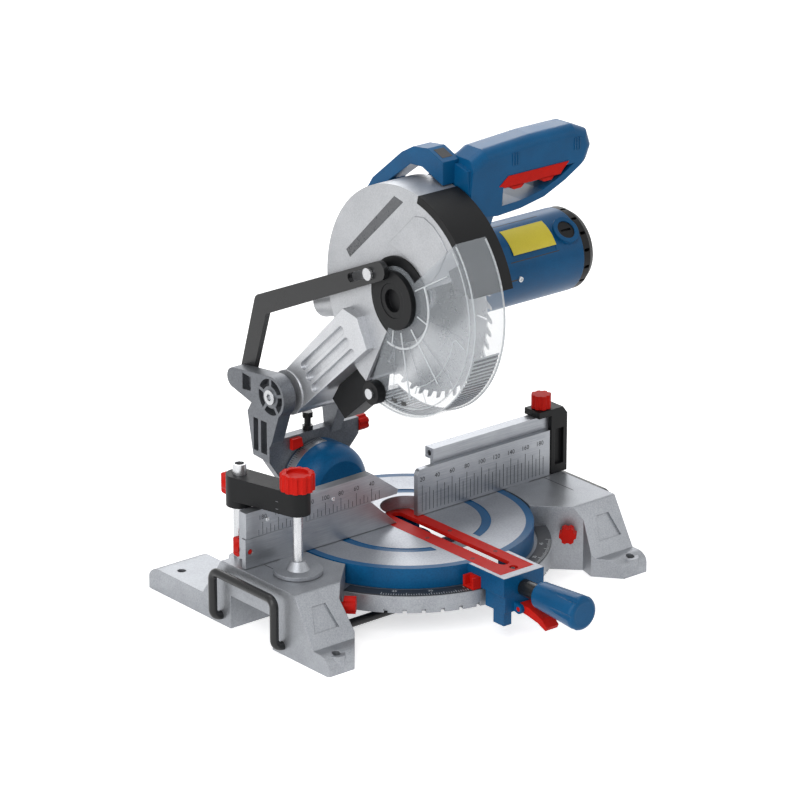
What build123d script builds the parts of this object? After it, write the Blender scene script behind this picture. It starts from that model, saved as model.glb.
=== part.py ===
# Benchtop mitre saw with a tilting chop head.
# Millimetres. The origin is on the bench under the turntable axis, X runs along the fence to the right,
# Y runs back away from the operator and Z is up. The head is drawn raised, square and upright.
import os
from math import atan, atan2, cos, degrees, pi, radians, sin, sqrt, tan

from build123d import *

os.makedirs("parts", exist_ok=True)

# Table and base
TABLE_Z = 70.0
TABLE_R = 130.0
TABLE_BOTTOM = 48.4
RING_TOP = 48.0
RING_BOTTOM = 30.0
SCALE_W = 19.0
RING_LAP = 14.0
RING_R = TABLE_R + SCALE_W
RING_IN = TABLE_R - RING_LAP
REAR_RING_TOP = 40.0
HUB_R = 26.0
HUB_BOTTOM = 24.0
HUB_TOP = 46.0
PIVOT_BOLT_R = 7.0
BASE_HALF = 212.0
WING_IN = 118.0
BORE_OVER = 16.0
WALL = 5.0
FRONT_Y = -135.0
REAR_Y = 162.0
FRONT_FOOT_H = 20.0
REAR_FOOT_H = 25.0
WING_FRONT_Y = -82.0
WING_REAR_Y = 36.0
NOTCH_H = 36.0
NOTCH_FRONT_Y = -46.0
NOTCH_REAR_Y = 22.0
BOLT_X = 195.0
BOLT_Y = 126.0
BOLT_HOLE_R = 4.5

# Fits
RUN = 0.05
SLIP = 0.3
GAP = 0.5

# Extension bars
BAR_R = 4.5
BAR_Z = 10.0
BAR_TOP = 61.0
BAR_FRONT_Y = -62.0
BAR_REAR_Y = 38.0
BAR_STAND = 10.0
BAR_X = BASE_HALF + BAR_STAND
BAR_IN = 70.0

# Fence
FENCE_T = 6.0
FENCE_LIFT = 0.6
LEFT_FENCE_H = 32.0
LEFT_UPPER_TOP = 62.0
RIGHT_FENCE_H = 51.0
RIGHT_UPPER_TOP = 66.0
FENCE_END = 209.0
RIGHT_END = 194.0
FENCE_GAP = 14.0
BRIDGE_R = 28.0
BRIDGE_T = 8.0
FENCE_SCREW_X = 203.0
FENCE_SCREW_Z = TABLE_Z + 18.0
FENCE_TRAVEL = 95.0
POST_DEPTH = 23.5
POST_LEFT = 197.0
POST_RIGHT = 219.0
POST_CAP = 7.0
RAIL_LEFT = 40.0
FENCE_KNOB_X = 192.5

# Clamp
COLUMN_X = -190.0
COLUMN_Y = 33.0
COLUMN_R = 7.0
COLUMN_TOP = TABLE_Z + 100.0
SPINDLE_X = -172.5
SPINDLE_Y = -38.0
SPINDLE_R = 5.0
CLAMP_LOW = TABLE_Z + 64.0
CLAMP_HIGH = TABLE_Z + 89.0

# Turntable arm
ARM_HALF = 26.3
ARM_FRONT = -182.0
ARM_BOTTOM = TABLE_BOTTOM + 1.4
INSERT_HALF = 22.0
INSERT_T = 4.0
SLOT_LEFT = -4.0
SLOT_RIGHT = 8.0
LOCK_Z = TABLE_Z - 15.0
LOCK_R = 5.0
KNOB_BACK = -207.0
KNOB_FRONT = -272.0
LEVER_Y = ARM_FRONT - 6.0
LEVER_Z = TABLE_Z - 34.0
LEVER_HALF = 8.0
LEVER_PIN_R = 2.5
LEVER_EAR_T = 4.0

# Tilt joint
DOME_R = 45.0
DOME_FRONT = 108.0
DOME_REAR = 150.0
TAIL_HALF = 30.0
TILT_BOLT_R = 6.0
PLATE_Y = DOME_REAR + 0.4
PLATE_T = 11.0
PLATE_RIGHT = 58.0
LOCK_PIN_R = 3.0
STOP_X = -6.0

# Chop joint
PIVOT_Y = 148.0
PIVOT_Z = TABLE_Z + 106.0
SHAFT_R = 8.0
BOSS_R = 22.5
CHEEK_LEFT = -61.0
CHEEK_T = 16.0
ARM_LEFT = -38.0
ARM_RIGHT = 20.0
RIGHT_CHEEK_T = 14.0
LUG_Y = 210.0
LUG_Z = TABLE_Z + 110.0
LUG_R = 11.0

# Head
AXIS_Y = -22.0
AXIS_Z = TABLE_Z + 252.0
BLADE_R = 108.0
BLADE_T = 1.8
TEETH = 48
GUARD_R = 117.0
GUARD_LEFT = -27.0
GUARD_RIGHT = 22.0
GUARD_WALL = 3.0
OUTLET_R = 16.0
VISOR_IN = 119.5
VISOR_R = 122.0
VISOR_LEFT = -32.0
VISOR_RIGHT = 6.0
VISOR_WALL = 2.5
VISOR_START = 138.0
VISOR_STOP = 292.0
JOURNAL_R = 18.0
EAR_R = 36.0
EAR_ANGLE = 39.0
LINK_T = 6.0
LINK_LEFT = -44.5
LINK_HALF = 11.0
LINK_PIN_R = 2.5

# Drive
MODULE = 1.25
PINION_TEETH = 9
WHEEL_TEETH = 45
CENTRES = MODULE * (PINION_TEETH + WHEEL_TEETH) / 2
DRIVE_ANGLE = -12.0
MOTOR_Y = AXIS_Y + CENTRES * cos(radians(DRIVE_ANGLE))
MOTOR_Z = AXIS_Z + CENTRES * sin(radians(DRIVE_ANGLE))
MOTOR_R = 44.0
MOTOR_WALL = 4.0
CORE_R = 22.0
CORE_L = 70.0
CASE_R = 33.0
CASE_RIGHT = 48.0
BODY_RIGHT = 209.0
MOTOR_RIGHT = 226.0
ARBOR_R = 8.0
GEAR_LEFT = 28.0
GEAR_W = 11.0

# Handle
GRIP_Y = -48.0
GRIP_RIGHT = 189.0
TRIGGER_X = 106.0
TRIGGER_L = 72.0
TRIGGER_T = 7.0
LOCK_OFF_X = 20.0
LOCK_OFF_STEM = 8.0
LOCK_OFF_TRAVEL = 5.0


def turn(y, z, radius, angle):
    """Point at a radius and angle round (y, z); the angle runs from straight back towards up."""
    return (y + radius * cos(radians(angle)), z + radius * sin(radians(angle)))


def sector(radius, start, stop):
    """Pie-shaped face round the blade axis, drawn in side view."""
    centre = (AXIS_Y, AXIS_Z)
    with BuildSketch() as face:
        with BuildLine():
            arc = CenterArc(centre, radius, start, stop - start)
            Line(arc @ 1, centre)
            Line(centre, arc @ 0)
        make_face()
    return face.sketch


def hull_bar(first, first_r, second, second_r):
    """Bar with two round ends of their own radii, drawn between two points."""
    with BuildSketch() as face:
        with Locations(first):
            Circle(first_r)
        with Locations(second):
            Circle(second_r)
        make_hull()
    return face.sketch


def fluted(radius, flutes, depth):
    """Round grip outline with hollows round its edge."""
    with BuildSketch() as face:
        Circle(radius)
        with PolarLocations(radius + depth, flutes):
            Circle(2 * depth, mode=Mode.SUBTRACT)
    return face.sketch


def wing_screw(half_span, neck_r, neck_l):
    """Winged grip standing on its own XY plane, with the threaded stub below and the wings along Y."""
    with BuildPart() as screw:
        Cylinder(neck_r, neck_l, align=(Align.CENTER, Align.CENTER, Align.MAX))
        Cylinder(half_span * 0.6, 7, align=(Align.CENTER, Align.CENTER, Align.MIN))
        with BuildSketch(Plane.YZ.offset(-2.5)):
            with Locations((0, 8)):
                RectangleRounded(2 * half_span, 10, 3)
        extrude(amount=5)
    return screw.part


def gear_face(teeth, addendum, root):
    """Involute spur gear outline with a little backlash, centred on the origin."""
    pitch_r = MODULE * teeth / 2
    base_r = pitch_r * cos(radians(20))
    tip_r = pitch_r + addendum
    half = pi / (2 * teeth) - 0.09 / pitch_r
    grow = tan(radians(20)) - radians(20)

    def flank(radius):
        lift = sqrt(max((radius / base_r) ** 2 - 1, 0))
        return half + grow - (lift - atan(lift))

    low = max(base_r, root + 0.05)
    steps = [low + (tip_r - low) * k / 3 for k in range(4)]
    with BuildSketch() as face:
        Circle(root)
        with BuildSketch(mode=Mode.PRIVATE) as tooth:
            with BuildLine():
                right = [(r * cos(-flank(r)), r * sin(-flank(r))) for r in steps]
                left = [(r * cos(flank(r)), r * sin(flank(r))) for r in reversed(steps)]
                start = (0.8 * root * cos(-flank(low)), 0.8 * root * sin(-flank(low)))
                stop = (0.8 * root * cos(flank(low)), 0.8 * root * sin(flank(low)))
                Polyline(start, *right, *left, stop, close=True)
            make_face()
        with PolarLocations(0, teeth):
            add(tooth.sketch)
    return face.sketch


def wing_profile():
    """Side outline of a wing with its front and rear feet and the carrying notch between them."""
    with BuildSketch() as profile:
        with BuildLine():
            Polyline(
                (REAR_Y, 0),
                (REAR_Y, REAR_FOOT_H),
                (WING_REAR_Y + 32, REAR_FOOT_H),
                (WING_REAR_Y, TABLE_Z),
                (WING_FRONT_Y, TABLE_Z),
                (FRONT_Y + 24, FRONT_FOOT_H),
                (FRONT_Y, FRONT_FOOT_H),
                (FRONT_Y, 0),
                (NOTCH_FRONT_Y, 0),
                (NOTCH_FRONT_Y, NOTCH_H),
                (NOTCH_REAR_Y, NOTCH_H),
                (NOTCH_REAR_Y, 0),
                close=True,
            )
        make_face()
        fillet(profile.vertices().group_by(Axis.X)[-1].sort_by(Axis.Y)[-1], REAR_FOOT_H - 6)
        fillet(profile.vertices().group_by(Axis.X)[0].sort_by(Axis.Y)[-1], FRONT_FOOT_H - 5)
        fillet(profile.vertices().group_by(Axis.Y)[-1], 3)
    return profile.sketch


def wing_plan():
    """Top outline of the right wing and its feet."""
    with BuildSketch() as plan:
        with BuildLine():
            Polyline(
                (BASE_HALF, REAR_Y + 1),
                (160, REAR_Y + 1),
                (148, REAR_Y - 16),
                (148, 70),
                (WING_IN, 46),
                (WING_IN, -46),
                (162, -90),
                (157, -108),
                (180, FRONT_Y - 1),
                (BASE_HALF, FRONT_Y - 1),
                close=True,
            )
        make_face()
        fillet(plan.vertices().group_by(Axis.X)[-1], 5)
    return plan.sketch


# Base casting
slope_top = Vector(0, WING_FRONT_Y, TABLE_Z)
slope_foot = Vector(0, FRONT_Y + 24, FRONT_FOOT_H)
slope_down = (slope_foot - slope_top).normalized()
slope_out = Vector(0, slope_down.Z, -slope_down.Y)
slope_mid = (slope_top + slope_foot) * 0.5 + Vector(188, 0, 0)
panel_plane = Plane(origin=slope_mid, x_dir=(1, 0, 0), z_dir=slope_out)
knob_out = Vector(-1, -1, 0).normalized()
knob_seat = Vector(151, -79, TABLE_Z - 27)
knob_plane = Plane(origin=knob_seat, x_dir=(0, 0, 1), z_dir=knob_out)

with BuildPart() as wing_cavity:
    with BuildSketch(Plane.YZ.offset(WING_IN)):
        add(wing_profile())
        offset(amount=-WALL, kind=Kind.INTERSECTION)
        with Locations(((FRONT_Y + NOTCH_FRONT_Y) / 2, WALL / 2)):
            Rectangle(NOTCH_FRONT_Y - FRONT_Y - 2 * WALL, WALL + 4)
        with Locations(((REAR_Y + NOTCH_REAR_Y) / 2, WALL / 2)):
            Rectangle(REAR_Y - NOTCH_REAR_Y - 2 * WALL, WALL + 4)
    extrude(amount=BASE_HALF - WALL - WING_IN)
    with BuildSketch(Plane.XY.offset(-5)):
        add(wing_plan())
        offset(amount=-WALL, kind=Kind.INTERSECTION)
    extrude(amount=TABLE_Z + 5, mode=Mode.INTERSECT)
    Cylinder(RING_R, 4 * TABLE_Z, mode=Mode.SUBTRACT)

with BuildPart() as base_casting:
    with BuildSketch(Plane.YZ.offset(WING_IN)):
        add(wing_profile())
    extrude(amount=BASE_HALF - WING_IN)
    with BuildSketch():
        add(wing_plan())
    extrude(amount=TABLE_Z, mode=Mode.INTERSECT)
    add(wing_cavity.part, mode=Mode.SUBTRACT)
    # Guides for the extension bars and bosses under the bolt holes
    with BuildSketch(Plane.YZ.offset(BASE_HALF - 55)):
        with Locations((BAR_FRONT_Y, BAR_Z), (BAR_REAR_Y, BAR_Z)):
            Circle(BAR_R + 4)
    extrude(amount=50)
    with BuildSketch(panel_plane):
        Trapezoid(30, 26, 76)
    extrude(amount=-2, mode=Mode.SUBTRACT)
    with BuildSketch(knob_plane):
        Circle(8)
    extrude(amount=-9)
    with BuildSketch(knob_plane):
        Circle(3 + SLIP)
    extrude(amount=-12, mode=Mode.SUBTRACT)
    mirror(about=Plane.YZ)
    for bolt_y, foot_h in ((-BOLT_Y, FRONT_FOOT_H), (BOLT_Y, REAR_FOOT_H)):
        with BuildSketch():
            with Locations((-BOLT_X, bolt_y), (BOLT_X, bolt_y)):
                Circle(9)
        extrude(amount=foot_h - 2)
    # Ring under the turntable, lower behind the fence so that the tilt arm can swing over it
    with BuildSketch(Plane.XY.offset(RING_BOTTOM)):
        Circle(RING_R)
        Circle(RING_IN, mode=Mode.SUBTRACT)
    extrude(amount=REAR_RING_TOP - RING_BOTTOM)
    with BuildSketch(Plane.XY.offset(REAR_RING_TOP)):
        Circle(RING_R)
        Circle(RING_IN, mode=Mode.SUBTRACT)
        with Locations((0, RING_R + WING_REAR_Y)):
            Rectangle(4 * RING_R, 2 * RING_R, mode=Mode.SUBTRACT)
    extrude(amount=RING_TOP - REAR_RING_TOP)
    with BuildSketch(Plane.XY.offset(HUB_BOTTOM)):
        Rectangle(2 * RING_IN + 6, 16)
        Rectangle(16, 2 * RING_IN + 6)
    extrude(amount=RING_BOTTOM + 4 - HUB_BOTTOM)
    with BuildSketch(Plane.XY.offset(HUB_BOTTOM)):
        Circle(HUB_R)
    extrude(amount=HUB_TOP - HUB_BOTTOM)
    # Room for the turntable, the bolt holes, the bar bores and the click notches
    with BuildSketch(Plane.XY.offset(RING_TOP)):
        Circle(TABLE_R + 2.5)
    extrude(amount=TABLE_Z, mode=Mode.SUBTRACT)
    with BuildSketch(Plane.XY.offset(-1)):
        with GridLocations(2 * BOLT_X, 2 * BOLT_Y, 2, 2):
            Circle(BOLT_HOLE_R)
        Circle(PIVOT_BOLT_R + SLIP)
    extrude(amount=TABLE_Z + 2, mode=Mode.SUBTRACT)
    for side in (-1, 1):
        with BuildSketch(Plane.YZ.offset(side * BASE_HALF)):
            with Locations((BAR_FRONT_Y, BAR_Z), (BAR_REAR_Y, BAR_Z)):
                Circle(BAR_R + RUN)
        extrude(amount=-side * (BASE_HALF - WING_IN + BORE_OVER), both=True, mode=Mode.SUBTRACT)
    with BuildSketch(Plane.XY.offset(RING_BOTTOM)):
        with PolarLocations(RING_R - 2, 13, start_angle=270 - 48, angular_range=96):
            Rectangle(7, 4)
    extrude(amount=4, mode=Mode.SUBTRACT)
    # Sockets for the clamp column, one each side
    for side in (-1, 1):
        with BuildSketch(Plane.XY.offset(TABLE_Z - 34)):
            with Locations((side * COLUMN_X, COLUMN_Y)):
                Circle(COLUMN_R + 5)
        extrude(amount=34)
        with BuildSketch(Plane.XY.offset(TABLE_Z - 30)):
            with Locations((side * COLUMN_X, COLUMN_Y)):
                Circle(COLUMN_R + RUN)
        extrude(amount=40, mode=Mode.SUBTRACT)
# The ring with its spokes and hub is drawn as a piece of its own, so that each piece keeps a simple form
with BuildPart() as base_ring:
    add(base_casting.part)
    Cylinder(RING_R, RING_TOP, align=(Align.CENTER, Align.CENTER, Align.MIN), mode=Mode.INTERSECT)
base_ring.part.label = "base_ring"
export_step(base_ring.part, "parts/base_ring.step")

with BuildPart() as base_wings:
    add(base_casting.part)
    Cylinder(RING_R, RING_TOP, align=(Align.CENTER, Align.CENTER, Align.MIN), mode=Mode.SUBTRACT)
base_wings.part.label = "base_casting"
export_step(base_wings.part, "parts/base_casting.step")

# Mitre scale band lying on the ring
with BuildPart() as mitre_scale:
    with BuildSketch(Plane.XY.offset(RING_TOP)):
        with BuildLine():
            CenterArc((0, 0), RING_R - 1, 205, 130)
            CenterArc((0, 0), TABLE_R + 3.5, 205, 130)
            for angle in (205, 335):
                Line(
                    ((RING_R - 1) * cos(radians(angle)), (RING_R - 1) * sin(radians(angle))),
                    ((TABLE_R + 3.5) * cos(radians(angle)), (TABLE_R + 3.5) * sin(radians(angle))),
                )
        make_face()
    extrude(amount=0.9)
mitre_scale.part.label = "mitre_scale"
export_step(mitre_scale.part, "parts/mitre_scale.step")

# Bolt that the turntable swivels on
with BuildPart() as turntable_bolt:
    with Locations((0, 0, HUB_BOTTOM - 8)):
        Cylinder(PIVOT_BOLT_R, TABLE_BOTTOM + 4 - HUB_BOTTOM + 8, align=(Align.CENTER, Align.CENTER, Align.MIN))
    with BuildSketch(Plane.XY.offset(HUB_BOTTOM - 8)):
        RegularPolygon(12, 6)
    extrude(amount=8)
turntable_bolt.part.label = "turntable_bolt"
export_step(turntable_bolt.part, "parts/turntable_bolt.step")

# Extension bars, bent to a loop outside each wing
for side, name in ((-1, "left"), (1, "right")):
    with BuildPart() as extension_bar:
        with BuildLine() as bar_path:
            FilletPolyline(
                (side * BAR_IN, BAR_REAR_Y, BAR_Z),
                (side * BAR_X, BAR_REAR_Y, BAR_Z),
                (side * BAR_X, BAR_REAR_Y, BAR_TOP),
                (side * BAR_X, BAR_FRONT_Y, BAR_TOP),
                (side * BAR_X, BAR_FRONT_Y, BAR_Z),
                (side * BAR_IN, BAR_FRONT_Y, BAR_Z),
                radius=9,
            )
        with BuildSketch(Plane(bar_path.line @ 0, z_dir=bar_path.line % 0)):
            Circle(BAR_R)
        sweep()
    extension_bar.part.label = name + "_extension_bar"
    export_step(extension_bar.part, "parts/" + name + "_extension_bar.step")

    # Lock screw for the bar, on the inner face of the wing
    seat = Plane(
        origin=(side * knob_seat.X, knob_seat.Y, knob_seat.Z),
        x_dir=(0, 0, 1),
        z_dir=(side * knob_out.X, knob_out.Y, 0),
    )
    with BuildPart() as extension_knob:
        with BuildSketch(seat.offset(-8)):
            Circle(3)
        extrude(amount=12)
        with BuildSketch(seat.offset(3)):
            add(fluted(9, 6, 1.6))
        extrude(amount=12)
    extension_knob.part.label = name + "_extension_knob"
    export_step(extension_knob.part, "parts/" + name + "_extension_knob.step")

# Fixed fence, both sides joined by a low bridge behind the blade
fence_bottom = TABLE_Z + FENCE_LIFT
left_top = TABLE_Z + LEFT_FENCE_H
right_top = TABLE_Z + RIGHT_FENCE_H
with BuildPart() as fence_casting:
    with BuildSketch(Plane.XZ):
        with BuildLine():
            Polyline(
                (-FENCE_END, fence_bottom),
                (-FENCE_GAP, fence_bottom),
                (-FENCE_GAP - LEFT_FENCE_H - 2, left_top),
                (-FENCE_END, left_top),
                close=True,
            )
        make_face()
    extrude(amount=-FENCE_T)
    with BuildSketch(Plane.XZ) as right_face:
        with Locations(((FENCE_GAP + RIGHT_END) / 2, (fence_bottom + right_top) / 2)):
            Rectangle(RIGHT_END - FENCE_GAP, right_top - fence_bottom)
        fillet(right_face.vertices().group_by(Axis.X)[0].sort_by(Axis.Y)[-1], 6)
    extrude(amount=-FENCE_T)
    # Feet on the wings
    with BuildSketch(Plane.XY.offset(TABLE_Z)):
        for side in (-1, 1):
            with Locations((side * (TABLE_R + 5 + RIGHT_END - 28) / 2, WING_REAR_Y / 2 - 2)):
                Rectangle(RIGHT_END - 28 - TABLE_R - 5, WING_REAR_Y - 4)
    extrude(amount=7)
    with BuildSketch(Plane.XY.offset(fence_bottom + 1)):
        Circle(BRIDGE_R + BRIDGE_T)
        Circle(BRIDGE_R, mode=Mode.SUBTRACT)
        with Locations((0, -BRIDGE_R)):
            Rectangle(4 * BRIDGE_R, 2 * BRIDGE_R, mode=Mode.SUBTRACT)
    extrude(amount=14)
    # Lock screw holes, and bolt holes in the feet
    with BuildSketch(Plane.XZ.offset(1)):
        with Locations((-FENCE_SCREW_X, FENCE_SCREW_Z)):
            Circle(3)
    extrude(amount=-20, mode=Mode.SUBTRACT)
    with BuildSketch(Plane.XY.offset(TABLE_Z - 1)):
        for side in (-1, 1):
            with Locations((side * 142, 24), (side * 160, 24)):
                Circle(3.2)
    extrude(amount=20, mode=Mode.SUBTRACT)
fence_casting.part.label = "fence_casting"
export_step(fence_casting.part, "parts/fence_casting.step")

with BuildPart() as fence_bolts:
    for side in (-1, 1):
        with BuildSketch(Plane.XY.offset(TABLE_Z)):
            with Locations((side * 142, 24), (side * 160, 24)):
                Circle(3.2)
        extrude(amount=7)
        with BuildSketch(Plane.XY.offset(TABLE_Z + 7)):
            with Locations((side * 142, 24), (side * 160, 24)):
                Circle(5.5)
                RegularPolygon(3, 6, mode=Mode.SUBTRACT)
        extrude(amount=5)
fence_bolts.part.label = "fence_bolts"
export_step(fence_bolts.part, "parts/fence_bolts.step")

# Left sliding fence: a face above the fixed one and a slotted plate behind it
slide_y = FENCE_T + SLIP
with BuildPart() as left_sliding_fence:
    with BuildSketch(Plane.XZ):
        with BuildLine():
            Polyline(
                (-FENCE_END + 1, left_top + SLIP),
                (-FENCE_GAP, left_top + SLIP),
                (-FENCE_GAP + 2, left_top + 5),
                (-FENCE_GAP - 32, TABLE_Z + LEFT_UPPER_TOP),
                (-FENCE_END + 1, TABLE_Z + LEFT_UPPER_TOP - 2),
                close=True,
            )
        make_face()
    extrude(amount=-slide_y - 5)
    with BuildSketch(Plane.XZ.offset(-slide_y)):
        with Locations(((-FENCE_END + 1 - 60) / 2, (left_top + 6 + TABLE_Z + 9) / 2)):
            Rectangle(FENCE_END - 1 - 60, left_top + 6 - TABLE_Z - 9)
    extrude(amount=-5)
    with BuildSketch(Plane.XZ.offset(-slide_y + 1)):
        with Locations((-FENCE_SCREW_X + FENCE_TRAVEL / 2, FENCE_SCREW_Z)):
            SlotCenterToCenter(FENCE_TRAVEL, 7)
    extrude(amount=-8, mode=Mode.SUBTRACT)
left_sliding_fence.part.label = "left_sliding_fence"
export_step(left_sliding_fence.part, "parts/left_sliding_fence.step")

screw_plane = Plane(
    origin=(-FENCE_SCREW_X, slide_y + 5 + GAP, FENCE_SCREW_Z), x_dir=(1, 0, 0), z_dir=(0, 1, 0)
)
with BuildPart() as left_fence_screw:
    add(screw_plane * wing_screw(10, 3 - RUN, slide_y + 4))
left_fence_screw.part.label = "left_fence_screw"
export_step(left_fence_screw.part, "parts/left_fence_screw.step")

# Right sliding fence: an extruded section behind the fixed face, held by the post at its end
right_high = TABLE_Z + RIGHT_UPPER_TOP
with BuildPart() as right_sliding_fence:
    with BuildSketch(Plane.YZ.offset(RAIL_LEFT)):
        with BuildLine():
            Polyline(
                (slide_y, right_top - 26),
                (slide_y, right_high),
                (slide_y + 13, right_high),
                (slide_y + 13, right_high - 12),
                (slide_y + 5, right_high - 12),
                (slide_y + 5, right_top - 26),
                close=True,
            )
        make_face()
        with Locations((slide_y + 6.5, right_high - 6)):
            Circle(3, mode=Mode.SUBTRACT)
    extrude(amount=POST_LEFT - RAIL_LEFT)
right_sliding_fence.part.label = "right_sliding_fence"
export_step(right_sliding_fence.part, "parts/right_sliding_fence.step")

with BuildPart() as right_fence_post:
    with BuildSketch(Plane.XZ.offset(-1)):
        with BuildLine():
            Polyline(
                (POST_LEFT, TABLE_Z + FENCE_LIFT),
                (POST_RIGHT, TABLE_Z + FENCE_LIFT),
                (POST_RIGHT, right_high - 1),
                (POST_RIGHT - 6, right_high + POST_CAP),
                (POST_LEFT - 17, right_high + POST_CAP),
                (POST_LEFT - 17, right_high + RUN),
                (POST_LEFT, right_high + RUN),
                close=True,
            )
        make_face()
    extrude(amount=-POST_DEPTH)
    with BuildSketch(Plane.XZ.offset(-1)):
        with Locations(((POST_LEFT + POST_RIGHT) / 2, TABLE_Z + 30)):
            Rectangle(12, 40)
    extrude(amount=-4, mode=Mode.SUBTRACT)
    with Locations((FENCE_KNOB_X, slide_y + 6.5, right_high)):
        Cylinder(3, 40, mode=Mode.SUBTRACT)
right_fence_post.part.label = "right_fence_post"
export_step(right_fence_post.part, "parts/right_fence_post.step")

with BuildPart() as right_fence_knob:
    with BuildSketch(Plane.XY.offset(right_high + 1)):
        with Locations((FENCE_KNOB_X, slide_y + 6.5)):
            Circle(3 - RUN)
    extrude(amount=POST_CAP + 3)
    with BuildSketch(Plane.XY.offset(right_high + POST_CAP + GAP)):
        with Locations((FENCE_KNOB_X, slide_y + 6.5)):
            add(fluted(10.5, 8, 1.4))
    extrude(amount=15)
right_fence_knob.part.label = "right_fence_knob"
export_step(right_fence_knob.part, "parts/right_fence_knob.step")

# Work clamp: column, arm, its wing screw, spindle, knob and pad
with BuildPart() as clamp_column:
    with Locations((COLUMN_X, COLUMN_Y, TABLE_Z - 30)):
        Cylinder(COLUMN_R, COLUMN_TOP - TABLE_Z + 30, align=(Align.CENTER, Align.CENTER, Align.MIN))
    with BuildSketch(Plane.XY.offset(COLUMN_TOP - 20)):
        with Locations((COLUMN_X, COLUMN_Y)):
            Circle(COLUMN_R - 2)
    extrude(amount=20, mode=Mode.SUBTRACT)
clamp_column.part.label = "clamp_column"
export_step(clamp_column.part, "parts/clamp_column.step")

with BuildPart() as clamp_arm:
    with BuildSketch(Plane.XY.offset(CLAMP_LOW)):
        add(hull_bar((COLUMN_X, COLUMN_Y), 14, (SPINDLE_X, SPINDLE_Y), 13))
    extrude(amount=CLAMP_HIGH - CLAMP_LOW)
    with BuildSketch(Plane.XY.offset(CLAMP_LOW - 8)):
        with Locations((COLUMN_X, COLUMN_Y)):
            Circle(14)
    extrude(amount=8)
    with BuildSketch(Plane.XY.offset(CLAMP_LOW)):
        with BuildSketch(mode=Mode.PRIVATE) as inner_bar:
            add(hull_bar((COLUMN_X, COLUMN_Y), 9, (SPINDLE_X, SPINDLE_Y), 8))
        add(inner_bar.sketch)
        with Locations((COLUMN_X, COLUMN_Y)):
            Circle(17, mode=Mode.SUBTRACT)
        with Locations((SPINDLE_X, SPINDLE_Y)):
            Circle(14, mode=Mode.SUBTRACT)
    extrude(amount=12, mode=Mode.SUBTRACT)
    with BuildSketch(Plane.XY.offset(CLAMP_LOW - 10)):
        with Locations((COLUMN_X, COLUMN_Y)):
            Circle(COLUMN_R + RUN)
        with Locations((SPINDLE_X, SPINDLE_Y)):
            Circle(SPINDLE_R + RUN)
    extrude(amount=60, mode=Mode.SUBTRACT)
    with BuildSketch(Plane.XZ.offset(-COLUMN_Y)):
        with Locations((COLUMN_X, CLAMP_LOW + 8)):
            Circle(3)
    extrude(amount=-20, mode=Mode.SUBTRACT)
clamp_arm.part.label = "clamp_arm"
export_step(clamp_arm.part, "parts/clamp_arm.step")

clamp_screw_plane = Plane(
    origin=(COLUMN_X, COLUMN_Y + 14 + GAP, CLAMP_LOW + 8), x_dir=(1, 0, 0), z_dir=(0, 1, 0)
)
with BuildPart() as clamp_wing_screw:
    add(clamp_screw_plane * wing_screw(11, 3 - RUN, 6))
clamp_wing_screw.part.label = "clamp_wing_screw"
export_step(clamp_wing_screw.part, "parts/clamp_wing_screw.step")

pad_z = TABLE_Z + GAP
with BuildPart() as clamp_spindle:
    with BuildSketch(Plane.XY.offset(pad_z + 5)):
        with Locations((SPINDLE_X, SPINDLE_Y)):
            Circle(SPINDLE_R)
    extrude(amount=CLAMP_HIGH + 6 - pad_z - 5)
clamp_spindle.part.label = "clamp_spindle"
export_step(clamp_spindle.part, "parts/clamp_spindle.step")

with BuildPart() as clamp_knob:
    with BuildSketch(Plane.XY.offset(CLAMP_HIGH + GAP)):
        with Locations((SPINDLE_X, SPINDLE_Y)):
            add(fluted(17.6, 12, 1.6))
    extrude(amount=17.5)
    chamfer(clamp_knob.faces().sort_by(Axis.Z)[-1].edges(), 1.2)
    with BuildSketch(Plane.XY.offset(CLAMP_HIGH + GAP + 17.5)):
        with Locations((SPINDLE_X, SPINDLE_Y)):
            Circle(11)
    extrude(amount=-3, mode=Mode.SUBTRACT)
    with BuildSketch(Plane.XY.offset(CLAMP_HIGH + GAP)):
        with Locations((SPINDLE_X, SPINDLE_Y)):
            Circle(SPINDLE_R)
    extrude(amount=6 - GAP, mode=Mode.SUBTRACT)
clamp_knob.part.label = "clamp_knob"
export_step(clamp_knob.part, "parts/clamp_knob.step")

with BuildPart() as clamp_pad:
    with BuildSketch(Plane.XY.offset(pad_z)):
        with Locations((SPINDLE_X, SPINDLE_Y)):
            Circle(25)
            with Locations((0, 33)):
                Rectangle(60, 30, mode=Mode.SUBTRACT)
    extrude(amount=4)
    with BuildSketch(Plane.XY.offset(pad_z + 4)):
        with Locations((SPINDLE_X, SPINDLE_Y)):
            Circle(12)
    extrude(amount=9, taper=28)
    with BuildSketch(Plane.XY.offset(pad_z + 5)):
        with Locations((SPINDLE_X, SPINDLE_Y)):
            Circle(SPINDLE_R + RUN)
    extrude(amount=20, mode=Mode.SUBTRACT)
clamp_pad.part.label = "clamp_pad"
export_step(clamp_pad.part, "parts/clamp_pad.step")

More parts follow.
